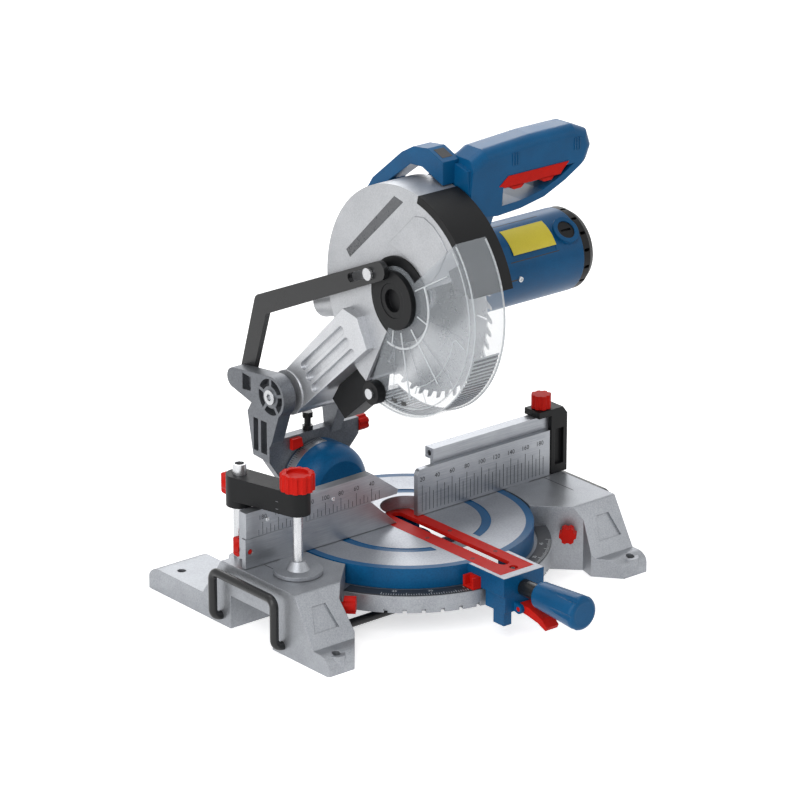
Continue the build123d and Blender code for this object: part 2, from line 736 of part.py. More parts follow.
# Turntable with its arm, rear web and tilt dome
with BuildPart() as turntable:
    with BuildSketch(Plane.XY.offset(TABLE_BOTTOM)):
        Circle(TABLE_R)
    extrude(amount=TABLE_Z - TABLE_BOTTOM)
    with BuildSketch(Plane.XY.offset(TABLE_BOTTOM)):
        Circle(TABLE_R - 8)
        with Locations((0, DOME_REAR)):
            Rectangle(2 * TAIL_HALF, 100, mode=Mode.SUBTRACT)
    extrude(amount=TABLE_Z - 8 - TABLE_BOTTOM, mode=Mode.SUBTRACT)
    with BuildSketch(Plane.XY.offset(ARM_BOTTOM)):
        with Locations((0, (ARM_FRONT - TABLE_R + 6) / 2)):
            Rectangle(2 * ARM_HALF, -ARM_FRONT - TABLE_R + 6)
    extrude(amount=TABLE_Z - ARM_BOTTOM)
    with BuildSketch(Plane.XY.offset(TABLE_Z - 38)):
        with Locations((0, ARM_FRONT + 15)):
            Rectangle(2 * ARM_HALF - 4, 30)
    extrude(amount=40 - (TABLE_Z - TABLE_BOTTOM))
    with BuildSketch(Plane.XY.offset(TABLE_Z - 52)):
        with Locations((-ARM_HALF + 7, ARM_FRONT + 10)):
            Rectangle(10, 16)
    extrude(amount=16)
    for ear_x in (-LEVER_HALF - GAP - LEVER_EAR_T, LEVER_HALF + GAP):
        with BuildSketch(Plane.YZ.offset(ear_x)):
            add(hull_bar((LEVER_Y, LEVER_Z), 5, (ARM_FRONT + 4, LEVER_Z + 2), 5))
            with Locations((LEVER_Y, LEVER_Z)):
                Circle(LEVER_PIN_R + RUN, mode=Mode.SUBTRACT)
        extrude(amount=LEVER_EAR_T)
    with BuildSketch(Plane.XY.offset(HUB_TOP + 0.4)):
        Circle(HUB_R - 1)
    extrude(amount=7)
    with BuildSketch(Plane.XY.offset(HUB_TOP + 0.4)):
        with Locations((0, 30)):
            Rectangle(2 * HUB_R - 6, 44)
    extrude(amount=TABLE_Z - 6 - HUB_TOP)
    # Tail behind the disc, then the tilt dome on it
    with BuildSketch(Plane.XY.offset(TABLE_BOTTOM)):
        with Locations((0, (DOME_REAR + DOME_FRONT) / 2)):
            Rectangle(2 * TAIL_HALF, DOME_REAR - DOME_FRONT)
    extrude(amount=TABLE_Z - TABLE_BOTTOM)
    with BuildSketch(Plane.XY.offset(TABLE_Z)):
        with BuildLine():
            rise = Line((0, DOME_REAR), (DOME_R, DOME_REAR))
            side_line = Line(rise @ 1, (DOME_R, DOME_FRONT + 22))
            nose = TangentArc(side_line @ 1, (DOME_R - 14, DOME_FRONT), tangent=side_line % 1)
            front_line = Line(nose @ 1, (0, DOME_FRONT))
            Line(front_line @ 1, rise @ 0)
        make_face()
    revolve(axis=Axis((0, 0, TABLE_Z), (0, 1, 0)), revolution_arc=-180)
    # Insert pocket, blade channel and bores
    with BuildSketch(Plane.XY.offset(TABLE_Z - INSERT_T)):
        with Locations((0, (ARM_FRONT + 10 + 36) / 2)):
            Rectangle(2 * INSERT_HALF, 36 - ARM_FRONT - 10)
    extrude(amount=INSERT_T + 0.1, mode=Mode.SUBTRACT)
    with BuildSketch(Plane.XY.offset(TABLE_Z - 12)):
        with Locations((4, -62)):
            Rectangle(30, 180)
    extrude(amount=14, mode=Mode.SUBTRACT)
    with BuildSketch(Plane.XY.offset(TABLE_BOTTOM - 1)):
        with Locations((4, -82)):
            Rectangle(30, 112)
    extrude(amount=30, mode=Mode.SUBTRACT)
    with BuildSketch(Plane.XY.offset(HUB_TOP)):
        Circle(PIVOT_BOLT_R + RUN)
    extrude(amount=TABLE_BOTTOM + 5 - HUB_TOP, mode=Mode.SUBTRACT)
    with BuildSketch(Plane.XZ.offset(-DOME_REAR)):
        with Locations((0, TABLE_Z)):
            Circle(TILT_BOLT_R)
    extrude(amount=30, mode=Mode.SUBTRACT)
    with BuildSketch(Plane.XZ.offset(-ARM_FRONT + 40)):
        with Locations((0, LOCK_Z)):
            Circle(LOCK_R + RUN)
    extrude(amount=-82, mode=Mode.SUBTRACT)
    # Painted ring sunk in the machined top, and the groove round the rim
    with BuildSketch(Plane.XY.offset(TABLE_Z)):
        Circle(86)
        Circle(76, mode=Mode.SUBTRACT)
        Rectangle(2 * INSERT_HALF + 12, 300, mode=Mode.SUBTRACT)
    extrude(amount=-0.8, mode=Mode.SUBTRACT)
turntable.part.label = "turntable"
export_step(turntable.part, "parts/turntable.step")

# Table insert with the blade slot
insert_rear = 36.0
insert_front = ARM_FRONT + 10
with BuildPart() as table_insert:
    with BuildSketch(Plane.XY.offset(TABLE_Z - INSERT_T)):
        with Locations((0, (insert_front + insert_rear) / 2)):
            Rectangle(2 * INSERT_HALF - SLIP, insert_rear - insert_front - SLIP)
    extrude(amount=INSERT_T)
    with BuildSketch(Plane.XY.offset(TABLE_Z - INSERT_T - 1)):
        with Locations(((SLOT_LEFT + SLOT_RIGHT) / 2, -65)):
            SlotOverall(178, SLOT_RIGHT - SLOT_LEFT, rotation=90)
        with Locations((2, insert_front + 8)):
            Circle(4.5)
    extrude(amount=INSERT_T + 2, mode=Mode.SUBTRACT)
table_insert.part.label = "table_insert"
export_step(table_insert.part, "parts/table_insert.step")

# Mitre pointer on the side of the arm
with BuildPart() as mitre_pointer:
    with BuildSketch(Plane.XY.offset(RING_TOP + 1.4)):
        with Locations((-ARM_HALF - 5, -RING_R + 10)):
            Rectangle(10, 16)
    extrude(amount=12)
    with BuildSketch(Plane.XY.offset(RING_TOP + 4)):
        with Locations((-ARM_HALF - 7, -RING_R + 10)):
            Rectangle(8, 10)
    extrude(amount=20, mode=Mode.SUBTRACT)
mitre_pointer.part.label = "mitre_pointer"
export_step(mitre_pointer.part, "parts/mitre_pointer.step")

# Mitre lock rod and its knob
with BuildPart() as mitre_lock_rod:
    with BuildSketch(Plane.XZ.offset(-ARM_FRONT - 38)):
        with Locations((0, LOCK_Z)):
            Circle(LOCK_R)
    extrude(amount=-KNOB_BACK + ARM_FRONT + 38 + 12)
    with BuildSketch(Plane.XZ.offset(-ARM_FRONT + GAP)):
        with Locations((0, LOCK_Z)):
            Circle(LOCK_R + 3.5)
    extrude(amount=-KNOB_BACK + ARM_FRONT - GAP)
mitre_lock_rod.part.label = "mitre_lock_rod"
export_step(mitre_lock_rod.part, "parts/mitre_lock_rod.step")

with BuildPart() as mitre_lock_knob:
    with BuildSketch(Plane.XY.offset(LOCK_Z)) as knob_half:
        with BuildLine():
            back_line = Line((0, KNOB_BACK), (11, KNOB_BACK))
            round_back = TangentArc(back_line @ 1, (14, KNOB_BACK - 4), tangent=back_line % 1)
            long_line = Line(round_back @ 1, (18, KNOB_FRONT + 6))
            round_front = TangentArc(long_line @ 1, (11, KNOB_FRONT), tangent=long_line % 1)
            front_edge = Line(round_front @ 1, (0, KNOB_FRONT))
            Line(front_edge @ 1, back_line @ 0)
        make_face()
    revolve(axis=Axis((0, 0, LOCK_Z), (0, 1, 0)))
    with BuildSketch(Plane.XZ.offset(-KNOB_BACK - 1)):
        with Locations((0, LOCK_Z)):
            Circle(LOCK_R)
    extrude(amount=13, mode=Mode.SUBTRACT)
    with BuildSketch(Plane.XZ.offset(-KNOB_BACK + 14)):
        with Locations((0, LOCK_Z)):
            with PolarLocations(19, 6):
                Circle(3.2)
    extrude(amount=60, mode=Mode.SUBTRACT)
mitre_lock_knob.part.label = "mitre_lock_knob"
export_step(mitre_lock_knob.part, "parts/mitre_lock_knob.step")

# Click-stop lever under the knob, moulded with the stub pins it rocks on
with BuildPart() as detent_lever:
    with BuildSketch(Plane.YZ.offset(-LEVER_HALF)):
        with BuildLine():
            Polyline(
                (LEVER_Y + 4.5, LEVER_Z - 4),
                (LEVER_Y + 4.5, LEVER_Z + 4),
                (LEVER_Y - 10, LEVER_Z + 4),
                (LEVER_Y - 30, LEVER_Z - 2),
                (LEVER_Y - 38, LEVER_Z - 9),
                (LEVER_Y - 36, LEVER_Z - 13),
                (LEVER_Y - 24, LEVER_Z - 8),
                (LEVER_Y - 8, LEVER_Z - 5),
                close=True,
            )
        make_face()
    extrude(amount=2 * LEVER_HALF)
    with BuildSketch(Plane.YZ.offset(-LEVER_HALF - GAP - LEVER_EAR_T)):
        with Locations((LEVER_Y, LEVER_Z)):
            Circle(LEVER_PIN_R)
    extrude(amount=2 * (LEVER_HALF + GAP + LEVER_EAR_T))
detent_lever.part.label = "detent_lever"
export_step(detent_lever.part, "parts/detent_lever.step")

# Tilt arm: plate against the dome, two cheeks and the rear lug for the guard link
plate_top = TABLE_Z + 55
plate_mid = PLATE_Y + PLATE_T / 2
lock_z = plate_top - 9
cheek_in = CHEEK_LEFT + CHEEK_T
right_in = ARM_RIGHT + GAP
right_out = right_in + RIGHT_CHEEK_T
with BuildPart() as bevel_arm:
    with BuildSketch(Plane.XZ.offset(-PLATE_Y)):
        with BuildLine():
            Polyline(
                (CHEEK_LEFT, plate_top),
                (PLATE_RIGHT, plate_top),
                (PLATE_RIGHT, plate_top - 18),
                (42, TABLE_Z + 20),
                (34, TABLE_Z - 8),
                (22, TABLE_Z - 18),
                (-20, TABLE_Z - 18),
                (-46, TABLE_Z + 10),
                (CHEEK_LEFT, TABLE_Z + 32),
                close=True,
            )
        make_face()
    extrude(amount=-PLATE_T)
    # Left cheek with column
    with BuildSketch(Plane.YZ.offset(CHEEK_LEFT)):
        add(hull_bar((PIVOT_Y, PIVOT_Z), BOSS_R, (LUG_Y, LUG_Z), LUG_R))
        with BuildLine():
            Polyline(
                (PLATE_Y, TABLE_Z + 32),
                (178, TABLE_Z + 34),
                (187, TABLE_Z + 80),
                (176, PIVOT_Z - 8),
                (130, PIVOT_Z - 6),
                (PLATE_Y - 4, plate_top),
                (PLATE_Y, plate_top - 6),
                close=True,
            )
        make_face()
    extrude(amount=CHEEK_T)
    # Right cheek
    with BuildSketch(Plane.YZ.offset(right_in)):
        with Locations((PIVOT_Y, PIVOT_Z)):
            Circle(BOSS_R - 2)
        with Locations((plate_mid, plate_top - 4)):
            Rectangle(PLATE_T, 8)
        make_hull()
    extrude(amount=RIGHT_CHEEK_T)
    # Web under the hub
    with BuildSketch(Plane.XY.offset(plate_top - 28)):
        with Locations(((cheek_in + right_out) / 2, PLATE_Y + 15)):
            Rectangle(right_out - cheek_in + 2, 30)
    extrude(amount=10)
    # Pockets on the outside of the column, boss and lug
    with BuildSketch(Plane.YZ.offset(CHEEK_LEFT)):
        with Locations((159.5, TABLE_Z + 58)):
            Rectangle(10, 36)
        with Locations((173, TABLE_Z + 58)):
            Rectangle(8, 36)
        with Locations((PIVOT_Y, PIVOT_Z)):
            with BuildSketch(mode=Mode.PRIVATE) as boss_pockets:
                Circle(BOSS_R - 3)
                Circle(SHAFT_R + 4, mode=Mode.SUBTRACT)
                with PolarLocations(SHAFT_R + 8, 5, start_angle=18):
                    Rectangle(14, 3.5, mode=Mode.SUBTRACT)
            add(boss_pockets.sketch)
        with Locations((LUG_Y - 22, LUG_Z + 1)):
            Trapezoid(18, 14, 84, rotation=90)
    extrude(amount=9, mode=Mode.SUBTRACT)
    # Bores for the chop shaft, the tilt bolt, the travel lock and the depth stop
    with BuildSketch(Plane.YZ.offset(CHEEK_LEFT - 1)):
        with Locations((PIVOT_Y, PIVOT_Z)):
            Circle(SHAFT_R)
    extrude(amount=right_out - CHEEK_LEFT + 2, mode=Mode.SUBTRACT)
    with BuildSketch(Plane.XZ.offset(-PLATE_Y + 1)):
        with Locations((0, TABLE_Z)):
            Circle(TILT_BOLT_R + RUN)
    extrude(amount=-PLATE_T - 2, mode=Mode.SUBTRACT)
    with BuildSketch(Plane.YZ.offset(PLATE_RIGHT - 21)):
        with Locations((plate_mid, lock_z)):
            Circle(LOCK_PIN_R + RUN)
    extrude(amount=30, mode=Mode.SUBTRACT)
    with BuildSketch(Plane.XY.offset(plate_top - 16)):
        with Locations((STOP_X, plate_mid)):
            Circle(3.5)
    extrude(amount=30, mode=Mode.SUBTRACT)
    # Pin for the guard link, inside the lug
    with BuildSketch(Plane.YZ.offset(cheek_in - 1)):
        with Locations((LUG_Y, LUG_Z)):
            Circle(5)
    extrude(amount=LINK_LEFT + LINK_T + 1.5 - cheek_in + 1)
bevel_arm.part.label = "bevel_arm"
export_step(bevel_arm.part, "parts/bevel_arm.step")

with BuildPart() as tilt_bolt:
    with BuildSketch(Plane.XZ.offset(-DOME_REAR + 28)):
        with Locations((0, TABLE_Z)):
            Circle(TILT_BOLT_R)
    extrude(amount=-28 - PLATE_T - 26)
tilt_bolt.part.label = "tilt_bolt"
export_step(tilt_bolt.part, "parts/tilt_bolt.step")

# Tilt lock lever at the back
tilt_back = PLATE_Y + PLATE_T + GAP
with BuildPart() as bevel_lock_lever:
    with BuildSketch(Plane.XZ.offset(-tilt_back)):
        add(hull_bar((0, TABLE_Z), 13, (46, TABLE_Z + 16), 7))
    extrude(amount=-12)
    with BuildSketch(Plane.XZ.offset(-tilt_back - 12)):
        with Locations((46, TABLE_Z + 16)):
            Circle(7)
    extrude(amount=-24)
    with BuildSketch(Plane.XZ.offset(-tilt_back + 1)):
        with Locations((0, TABLE_Z)):
            Circle(TILT_BOLT_R + RUN)
    extrude(amount=-30, mode=Mode.SUBTRACT)
bevel_lock_lever.part.label = "bevel_lock_lever"
export_step(bevel_lock_lever.part, "parts/bevel_lock_lever.step")

# Pointer plate for the tilt scale
with BuildPart() as bevel_pointer:
    with BuildSketch(Plane.XZ.offset(-PLATE_Y)):
        with BuildLine():
            Polyline(
                (-34, TABLE_Z + DOME_R - 4),
                (-20, TABLE_Z + DOME_R - 2),
                (-22, TABLE_Z + DOME_R + 8),
                (-34, TABLE_Z + DOME_R + 8),
                close=True,
            )
        make_face()
    extrude(amount=5)
bevel_pointer.part.label = "bevel_pointer"
export_step(bevel_pointer.part, "parts/bevel_pointer.step")

with BuildPart() as chop_shaft:
    with BuildSketch(Plane.YZ.offset(CHEEK_LEFT - 2)):
        with Locations((PIVOT_Y, PIVOT_Z)):
            Circle(SHAFT_R)
    extrude(amount=right_out - CHEEK_LEFT + 4)
    with BuildSketch(Plane.YZ.offset(CHEEK_LEFT - 2)):
        with Locations((PIVOT_Y, PIVOT_Z)):
            RegularPolygon(4, 6)
    extrude(amount=4, mode=Mode.SUBTRACT)
chop_shaft.part.label = "chop_shaft"
export_step(chop_shaft.part, "parts/chop_shaft.step")

with BuildPart() as depth_stop:
    with BuildSketch(Plane.XY.offset(plate_top - 16)):
        with Locations((STOP_X, plate_mid)):
            Circle(3.5)
    extrude(amount=30)
    for nut_z, nut_h in ((plate_top, 5), (plate_top + 14, 6)):
        with BuildSketch(Plane.XY.offset(nut_z)):
            with Locations((STOP_X, plate_mid)):
                RegularPolygon(6, 6)
        extrude(amount=nut_h)
depth_stop.part.label = "depth_stop"
export_step(depth_stop.part, "parts/depth_stop.step")

with BuildPart() as travel_lock_pin:
    with BuildSketch(Plane.YZ.offset(PLATE_RIGHT - 20)):
        with Locations((plate_mid, lock_z)):
            Circle(LOCK_PIN_R)
    extrude(amount=24)
    with BuildSketch(Plane.YZ.offset(PLATE_RIGHT + GAP)):
        with Locations((plate_mid, lock_z)):
            add(fluted(8.5, 6, 1.4))
    extrude(amount=12)
travel_lock_pin.part.label = "travel_lock_pin"
export_step(travel_lock_pin.part, "parts/travel_lock_pin.step")

# Guard link: bent bar from the rear lug to the ear on the guard hub, with a slot for the ear pin
ear = turn(AXIS_Y, AXIS_Z, EAR_R, EAR_ANGLE)
corner = (184.0, TABLE_Z + 194.0)
leg = (Vector(*ear) - Vector(*corner)).normalized()
across = Vector(-leg.Y, leg.X)
tip = Vector(*ear) + leg * 15
slot_mid = Vector(*ear) - leg * 15.2 - across * 1.43
slot_angle = degrees(atan2(leg.Y, leg.X))
with BuildPart() as guard_link:
    with BuildSketch(Plane.YZ.offset(LINK_LEFT)):
        add(hull_bar((LUG_Y, LUG_Z), LUG_R - 1, corner, LINK_HALF))
        add(hull_bar(corner, LINK_HALF, (tip.X, tip.Y), LINK_HALF - 1))
    extrude(amount=LINK_T)
    with BuildSketch(Plane.YZ.offset(LINK_LEFT - 1)):
        with Locations((slot_mid.X, slot_mid.Y)):
            SlotCenterToCenter(34, 2 * (LINK_PIN_R + 2.2), rotation=slot_angle)
        with Locations((LUG_Y, LUG_Z)):
            Circle(5 + RUN)
    extrude(amount=LINK_T + 2, mode=Mode.SUBTRACT)
guard_link.part.label = "guard_link"
export_step(guard_link.part, "parts/guard_link.step")

# Saw arm: hub on the chop shaft and a ribbed beam that laps the left side of the guard
with BuildPart() as saw_arm:
    with BuildSketch(Plane.YZ.offset(-37)):
        with BuildLine():
            Polyline(
                (152, PIVOT_Z + 24),
                (127, PIVOT_Z - 12),
                (100, PIVOT_Z + 12),
                (20, PIVOT_Z + 82),
                (36, PIVOT_Z + 112),
                (58, PIVOT_Z + 116),
                close=True,
            )
        make_face()
    extrude(amount=51)
    with BuildSketch(Plane.YZ.offset(GUARD_LEFT)):
        with Locations((AXIS_Y, AXIS_Z)):
            Circle(GUARD_R)
    extrude(amount=100, mode=Mode.SUBTRACT)
    with BuildSketch(Plane.YZ.offset(-60)):
        with Locations((AXIS_Y, AXIS_Z)):
            Circle(52)
    extrude(amount=100, mode=Mode.SUBTRACT)
    with BuildSketch(Plane.YZ.offset(ARM_LEFT)):
        with Locations((PIVOT_Y, PIVOT_Z)):
            Circle(BOSS_R + 1.5)
    extrude(amount=ARM_RIGHT - ARM_LEFT)
    # Long pockets between the ribs
    for shift in (-17, -4, 9):
        with BuildSketch(Plane.YZ.offset(-37)):
            with Locations((86 + shift * 0.66, PIVOT_Z + 57 + shift * 0.75)):
                SlotOverall(92, 9, rotation=138)
        extrude(amount=5, mode=Mode.SUBTRACT)
    with BuildSketch(Plane.YZ.offset(ARM_LEFT - 1)):
        with Locations((PIVOT_Y, PIVOT_Z)):
            Circle(SHAFT_R + RUN)
    extrude(amount=100, mode=Mode.SUBTRACT)
saw_arm.part.label = "saw_arm"
export_step(saw_arm.part, "parts/saw_arm.step")

# Upper guard with the dust outlet
outlet = turn(AXIS_Y, AXIS_Z, GUARD_R - 10, -18)
with BuildPart() as upper_guard:
    with BuildSketch(Plane.YZ.offset(GUARD_LEFT)):
        add(sector(GUARD_R, -62, 154))
    extrude(amount=GUARD_RIGHT - GUARD_LEFT)
    with BuildSketch(Plane.YZ.offset(GUARD_RIGHT - GUARD_WALL)):
        with Locations((AXIS_Y, AXIS_Z)):
            Circle(36)
    extrude(amount=GUARD_WALL)
    outlet_plane = Plane(
        origin=(-2, outlet[0], outlet[1]),
        x_dir=(1, 0, 0),
        z_dir=(0, cos(radians(-18)), sin(radians(-18))),
    )
    with BuildSketch(outlet_plane):
        Circle(OUTLET_R + 1)
    extrude(amount=20)
    with BuildSketch(outlet_plane):
        Circle(OUTLET_R)
    extrude(amount=52)
    with BuildSketch(outlet_plane.offset(-4)):
        Circle(OUTLET_R - 2)
    extrude(amount=60, mode=Mode.SUBTRACT)
    with BuildSketch(Plane.YZ.offset(GUARD_LEFT + GUARD_WALL)):
        with Locations((AXIS_Y, AXIS_Z)):
            Circle(GUARD_R - GUARD_WALL)
    extrude(amount=GUARD_RIGHT - GUARD_LEFT - 2 * GUARD_WALL, mode=Mode.SUBTRACT)
    # Access hole for the arbor bolt and the hole for the arbor
    with BuildSketch(Plane.YZ.offset(GUARD_LEFT - 1)):
        with Locations((AXIS_Y, AXIS_Z)):
            Circle(36)
    extrude(amount=GUARD_WALL + 2, mode=Mode.SUBTRACT)
    with BuildSketch(Plane.YZ.offset(GUARD_RIGHT - GUARD_WALL - 1)):
        with Locations((AXIS_Y, AXIS_Z)):
            Circle(17)
    extrude(amount=GUARD_WALL + 2, mode=Mode.SUBTRACT)
upper_guard.part.label = "upper_guard"
export_step(upper_guard.part, "parts/upper_guard.step")

# Dark cover at the front of the guard
with BuildPart() as guard_front_cover:
    with BuildSketch(Plane.YZ.offset(GUARD_LEFT - 1.4)):
        add(sector(GUARD_R + 1.4, 104, 165))
        with Locations((AXIS_Y, AXIS_Z)):
            Circle(GUARD_R - 7, mode=Mode.SUBTRACT)
    extrude(amount=GUARD_RIGHT - GUARD_LEFT + 1.4)
    with BuildSketch(Plane.YZ.offset(GUARD_LEFT)):
        with Locations((AXIS_Y, AXIS_Z)):
            Circle(GUARD_R)
    extrude(amount=GUARD_RIGHT - GUARD_LEFT, mode=Mode.SUBTRACT)
guard_front_cover.part.label = "guard_front_cover"
export_step(guard_front_cover.part, "parts/guard_front_cover.step")

# Hub cover: closes the access hole and carries the journal that the lower guard turns on
with BuildPart() as hub_cover:
    with BuildSketch(Plane.YZ.offset(GUARD_LEFT - 2)):
        with Locations((AXIS_Y, AXIS_Z)):
            Circle(44)
    extrude(amount=2)
    with BuildSketch(Plane.YZ.offset(GUARD_LEFT - 10.5)):
        with Locations((AXIS_Y, AXIS_Z)):
            Circle(JOURNAL_R)
    extrude(amount=8.5)
    with BuildSketch(Plane.YZ.offset(GUARD_LEFT - 11)):
        with Locations((AXIS_Y, AXIS_Z)):
            Circle(12)
    extrude(amount=6, mode=Mode.SUBTRACT)
hub_cover.part.label = "hub_cover"
export_step(hub_cover.part, "parts/hub_cover.step")

# Lower guard: clear shell that turns on the journal
with BuildPart() as lower_guard:
    with BuildSketch(Plane.YZ.offset(VISOR_LEFT)):
        add(sector(VISOR_R, VISOR_START, VISOR_STOP))
    extrude(amount=VISOR_RIGHT - VISOR_LEFT)
    with BuildSketch(Plane.YZ.offset(VISOR_LEFT + VISOR_WALL)):
        with Locations((AXIS_Y, AXIS_Z)):
            Circle(VISOR_IN)
    extrude(amount=100, mode=Mode.SUBTRACT)
    with BuildSketch(Plane.YZ.offset(VISOR_LEFT)):
        with Locations((AXIS_Y, AXIS_Z)):
            Circle(34)
    extrude(amount=VISOR_WALL)
    # Moulded stiffening lines on the outside
    for angle in (160, 188, 216, 244, 272):
        with BuildSketch(Plane.YZ.offset(VISOR_LEFT)):
            with Locations(turn(AXIS_Y, AXIS_Z, 76, angle)):
                Rectangle(62, 1.6, rotation=angle)
        extrude(amount=-1.2)
    with BuildSketch(Plane.YZ.offset(VISOR_LEFT - 2)):
        with Locations((AXIS_Y, AXIS_Z)):
            Circle(JOURNAL_R + RUN)
        with Locations(turn(AXIS_Y, AXIS_Z, 109, 285)):
            Circle(3)
    extrude(amount=10, mode=Mode.SUBTRACT)
lower_guard.part.label = "lower_guard"
export_step(lower_guard.part, "parts/lower_guard.step")

with BuildPart() as guard_hub:
    with BuildSketch(Plane.YZ.offset(VISOR_LEFT - 6)):
        with Locations((AXIS_Y, AXIS_Z)):
            Circle(30)
        add(hull_bar((AXIS_Y, AXIS_Z), 16, ear, 9))
        with Locations((AXIS_Y, AXIS_Z)):
            Circle(JOURNAL_R + RUN, mode=Mode.SUBTRACT)
        with Locations(ear):
            Circle(LINK_PIN_R, mode=Mode.SUBTRACT)
    extrude(amount=6)
guard_hub.part.label = "guard_hub"
export_step(guard_hub.part, "parts/guard_hub.step")

roller = turn(AXIS_Y, AXIS_Z, 109, 285)
with BuildPart() as guard_roller:
    with BuildSketch(Plane.YZ.offset(VISOR_LEFT - 11)):
        with Locations(roller):
            Circle(12)
            Circle(3 + RUN, mode=Mode.SUBTRACT)
    extrude(amount=10)
guard_roller.part.label = "guard_roller"
export_step(guard_roller.part, "parts/guard_roller.step")

with BuildPart() as guard_screws:
    with BuildSketch(Plane.YZ.offset(VISOR_LEFT - 14)):
        with Locations(roller):
            Circle(3)
    extrude(amount=14 + VISOR_WALL)
    with BuildSketch(Plane.YZ.offset(VISOR_LEFT - 14)):
        with Locations(roller):
            Circle(5.5)
    extrude(amount=2.6)
    with BuildSketch(Plane.YZ.offset(LINK_LEFT - 1)):
        with Locations(ear):
            Circle(LINK_PIN_R)
    extrude(amount=VISOR_LEFT - LINK_LEFT + 1)
    with BuildSketch(Plane.YZ.offset(LINK_LEFT - 3.5)):
        with Locations(ear):
            Circle(6.5)
    extrude(amount=3)
guard_screws.part.label = "guard_screws"
export_step(guard_screws.part, "parts/guard_screws.step")

# Blade with its teeth and expansion slots
gullet = 360 / TEETH
with BuildPart() as blade:
    with BuildSketch(Plane.YZ.offset(-BLADE_T / 2)):
        with Locations((AXIS_Y, AXIS_Z)):
            Circle(BLADE_R - 7)
    extrude(amount=BLADE_T)
    with BuildSketch(Plane.YZ.offset(-BLADE_T / 2)):
        with BuildSketch(mode=Mode.PRIVATE) as tooth:
            with BuildLine():
                Polyline(
                    turn(0, 0, BLADE_R - 9, 0),
                    turn(0, 0, BLADE_R, 0.25 * gullet),
                    turn(0, 0, BLADE_R - 0.6, 0.02 * gullet),
                    turn(0, 0, BLADE_R - 6, -0.35 * gullet),
                    turn(0, 0, BLADE_R - 9, -0.45 * gullet),
                    close=True,
                )
            make_face()
        with Locations((AXIS_Y, AXIS_Z)):
            with PolarLocations(0, TEETH):
                add(tooth.sketch)
    extrude(amount=BLADE_T)
    with BuildSketch(Plane.YZ.offset(-5)):
        with Locations((AXIS_Y, AXIS_Z)):
            Circle(ARBOR_R)
            with PolarLocations(BLADE_R - 14, 6):
                SlotOverall(16, 1.6)
    extrude(amount=10, mode=Mode.SUBTRACT)
blade.part.label = "blade"
export_step(blade.part, "parts/blade.step")

with BuildPart() as blade_flanges:
    for start in (-BLADE_T / 2 - 4, BLADE_T / 2):
        with BuildSketch(Plane.YZ.offset(start)):
            with Locations((AXIS_Y, AXIS_Z)):
                Circle(20)
                Circle(ARBOR_R, mode=Mode.SUBTRACT)
        extrude(amount=4)
blade_flanges.part.label = "blade_flanges"
export_step(blade_flanges.part, "parts/blade_flanges.step")

flange_left = -BLADE_T / 2 - 4
with BuildPart() as arbor_bolt:
    with BuildSketch(Plane.YZ.offset(flange_left - 6)):
        with Locations((AXIS_Y, AXIS_Z)):
            RegularPolygon(7.5, 6)
            RegularPolygon(3.2, 6, mode=Mode.SUBTRACT)
    extrude(amount=4)
    with BuildSketch(Plane.YZ.offset(flange_left - 2)):
        with Locations((AXIS_Y, AXIS_Z)):
            Circle(11)
    extrude(amount=2)
    with BuildSketch(Plane.YZ.offset(flange_left)):
        with Locations((AXIS_Y, AXIS_Z)):
            Circle(4)
    extrude(amount=16)
arbor_bolt.part.label = "arbor_bolt"
export_step(arbor_bolt.part, "parts/arbor_bolt.step")

with BuildPart() as arbor:
    with BuildSketch(Plane.YZ.offset(flange_left)):
        with Locations((AXIS_Y, AXIS_Z)):
            Circle(ARBOR_R)
    extrude(amount=CASE_RIGHT - 1 - flange_left)
    with BuildSketch(Plane.YZ.offset(BLADE_T / 2 + 4)):
        with Locations((AXIS_Y, AXIS_Z)):
            Circle(ARBOR_R + 4)
    extrude(amount=12)
    with BuildSketch(Plane.YZ.offset(flange_left)):
        with Locations((AXIS_Y, AXIS_Z)):
            Circle(4)
    extrude(amount=16, mode=Mode.SUBTRACT)
arbor.part.label = "arbor"
export_step(arbor.part, "parts/arbor.step")

with BuildPart() as drive_wheel:
    with BuildSketch(Plane.YZ.offset(GEAR_LEFT + 1)):
        with Locations((AXIS_Y, AXIS_Z)):
            add(
                gear_face(WHEEL_TEETH, 0.55 * MODULE, MODULE * WHEEL_TEETH / 2 - 1.3 * MODULE),
                rotation=DRIVE_ANGLE + 180 / WHEEL_TEETH,
            )
            Circle(ARBOR_R, mode=Mode.SUBTRACT)
    extrude(amount=GEAR_W)
drive_wheel.part.label = "drive_wheel"
export_step(drive_wheel.part, "parts/drive_wheel.step")

# Armature: pinion, shaft, fan disc, winding stack and commutator
with BuildPart() as armature:
    with BuildSketch(Plane.YZ.offset(GEAR_LEFT + 1)):
        with Locations((MOTOR_Y, MOTOR_Z)):
            add(
                gear_face(PINION_TEETH, MODULE, CENTRES - MODULE * (WHEEL_TEETH / 2 + 0.55) - 0.3),
                rotation=180 + DRIVE_ANGLE,
            )
    extrude(amount=GEAR_W)
    with BuildSketch(Plane.YZ.offset(GEAR_LEFT + 1 + GEAR_W)):
        with Locations((MOTOR_Y, MOTOR_Z)):
            Circle(5)
    extrude(amount=MOTOR_RIGHT - 8 - GEAR_LEFT - 1 - GEAR_W)
    with BuildSketch(Plane.YZ.offset(CASE_RIGHT + 8)):
        with Locations((MOTOR_Y, MOTOR_Z)):
            Circle(34)
    extrude(amount=10)
    with BuildSketch(Plane.YZ.offset(CASE_RIGHT + 34)):
        with Locations((MOTOR_Y, MOTOR_Z)):
            Circle(CORE_R)
    extrude(amount=CORE_L)
    with BuildSketch(Plane.YZ.offset(BODY_RIGHT - 30)):
        with Locations((MOTOR_Y, MOTOR_Z)):
            Circle(15)
    extrude(amount=26)
armature.part.label = "armature"
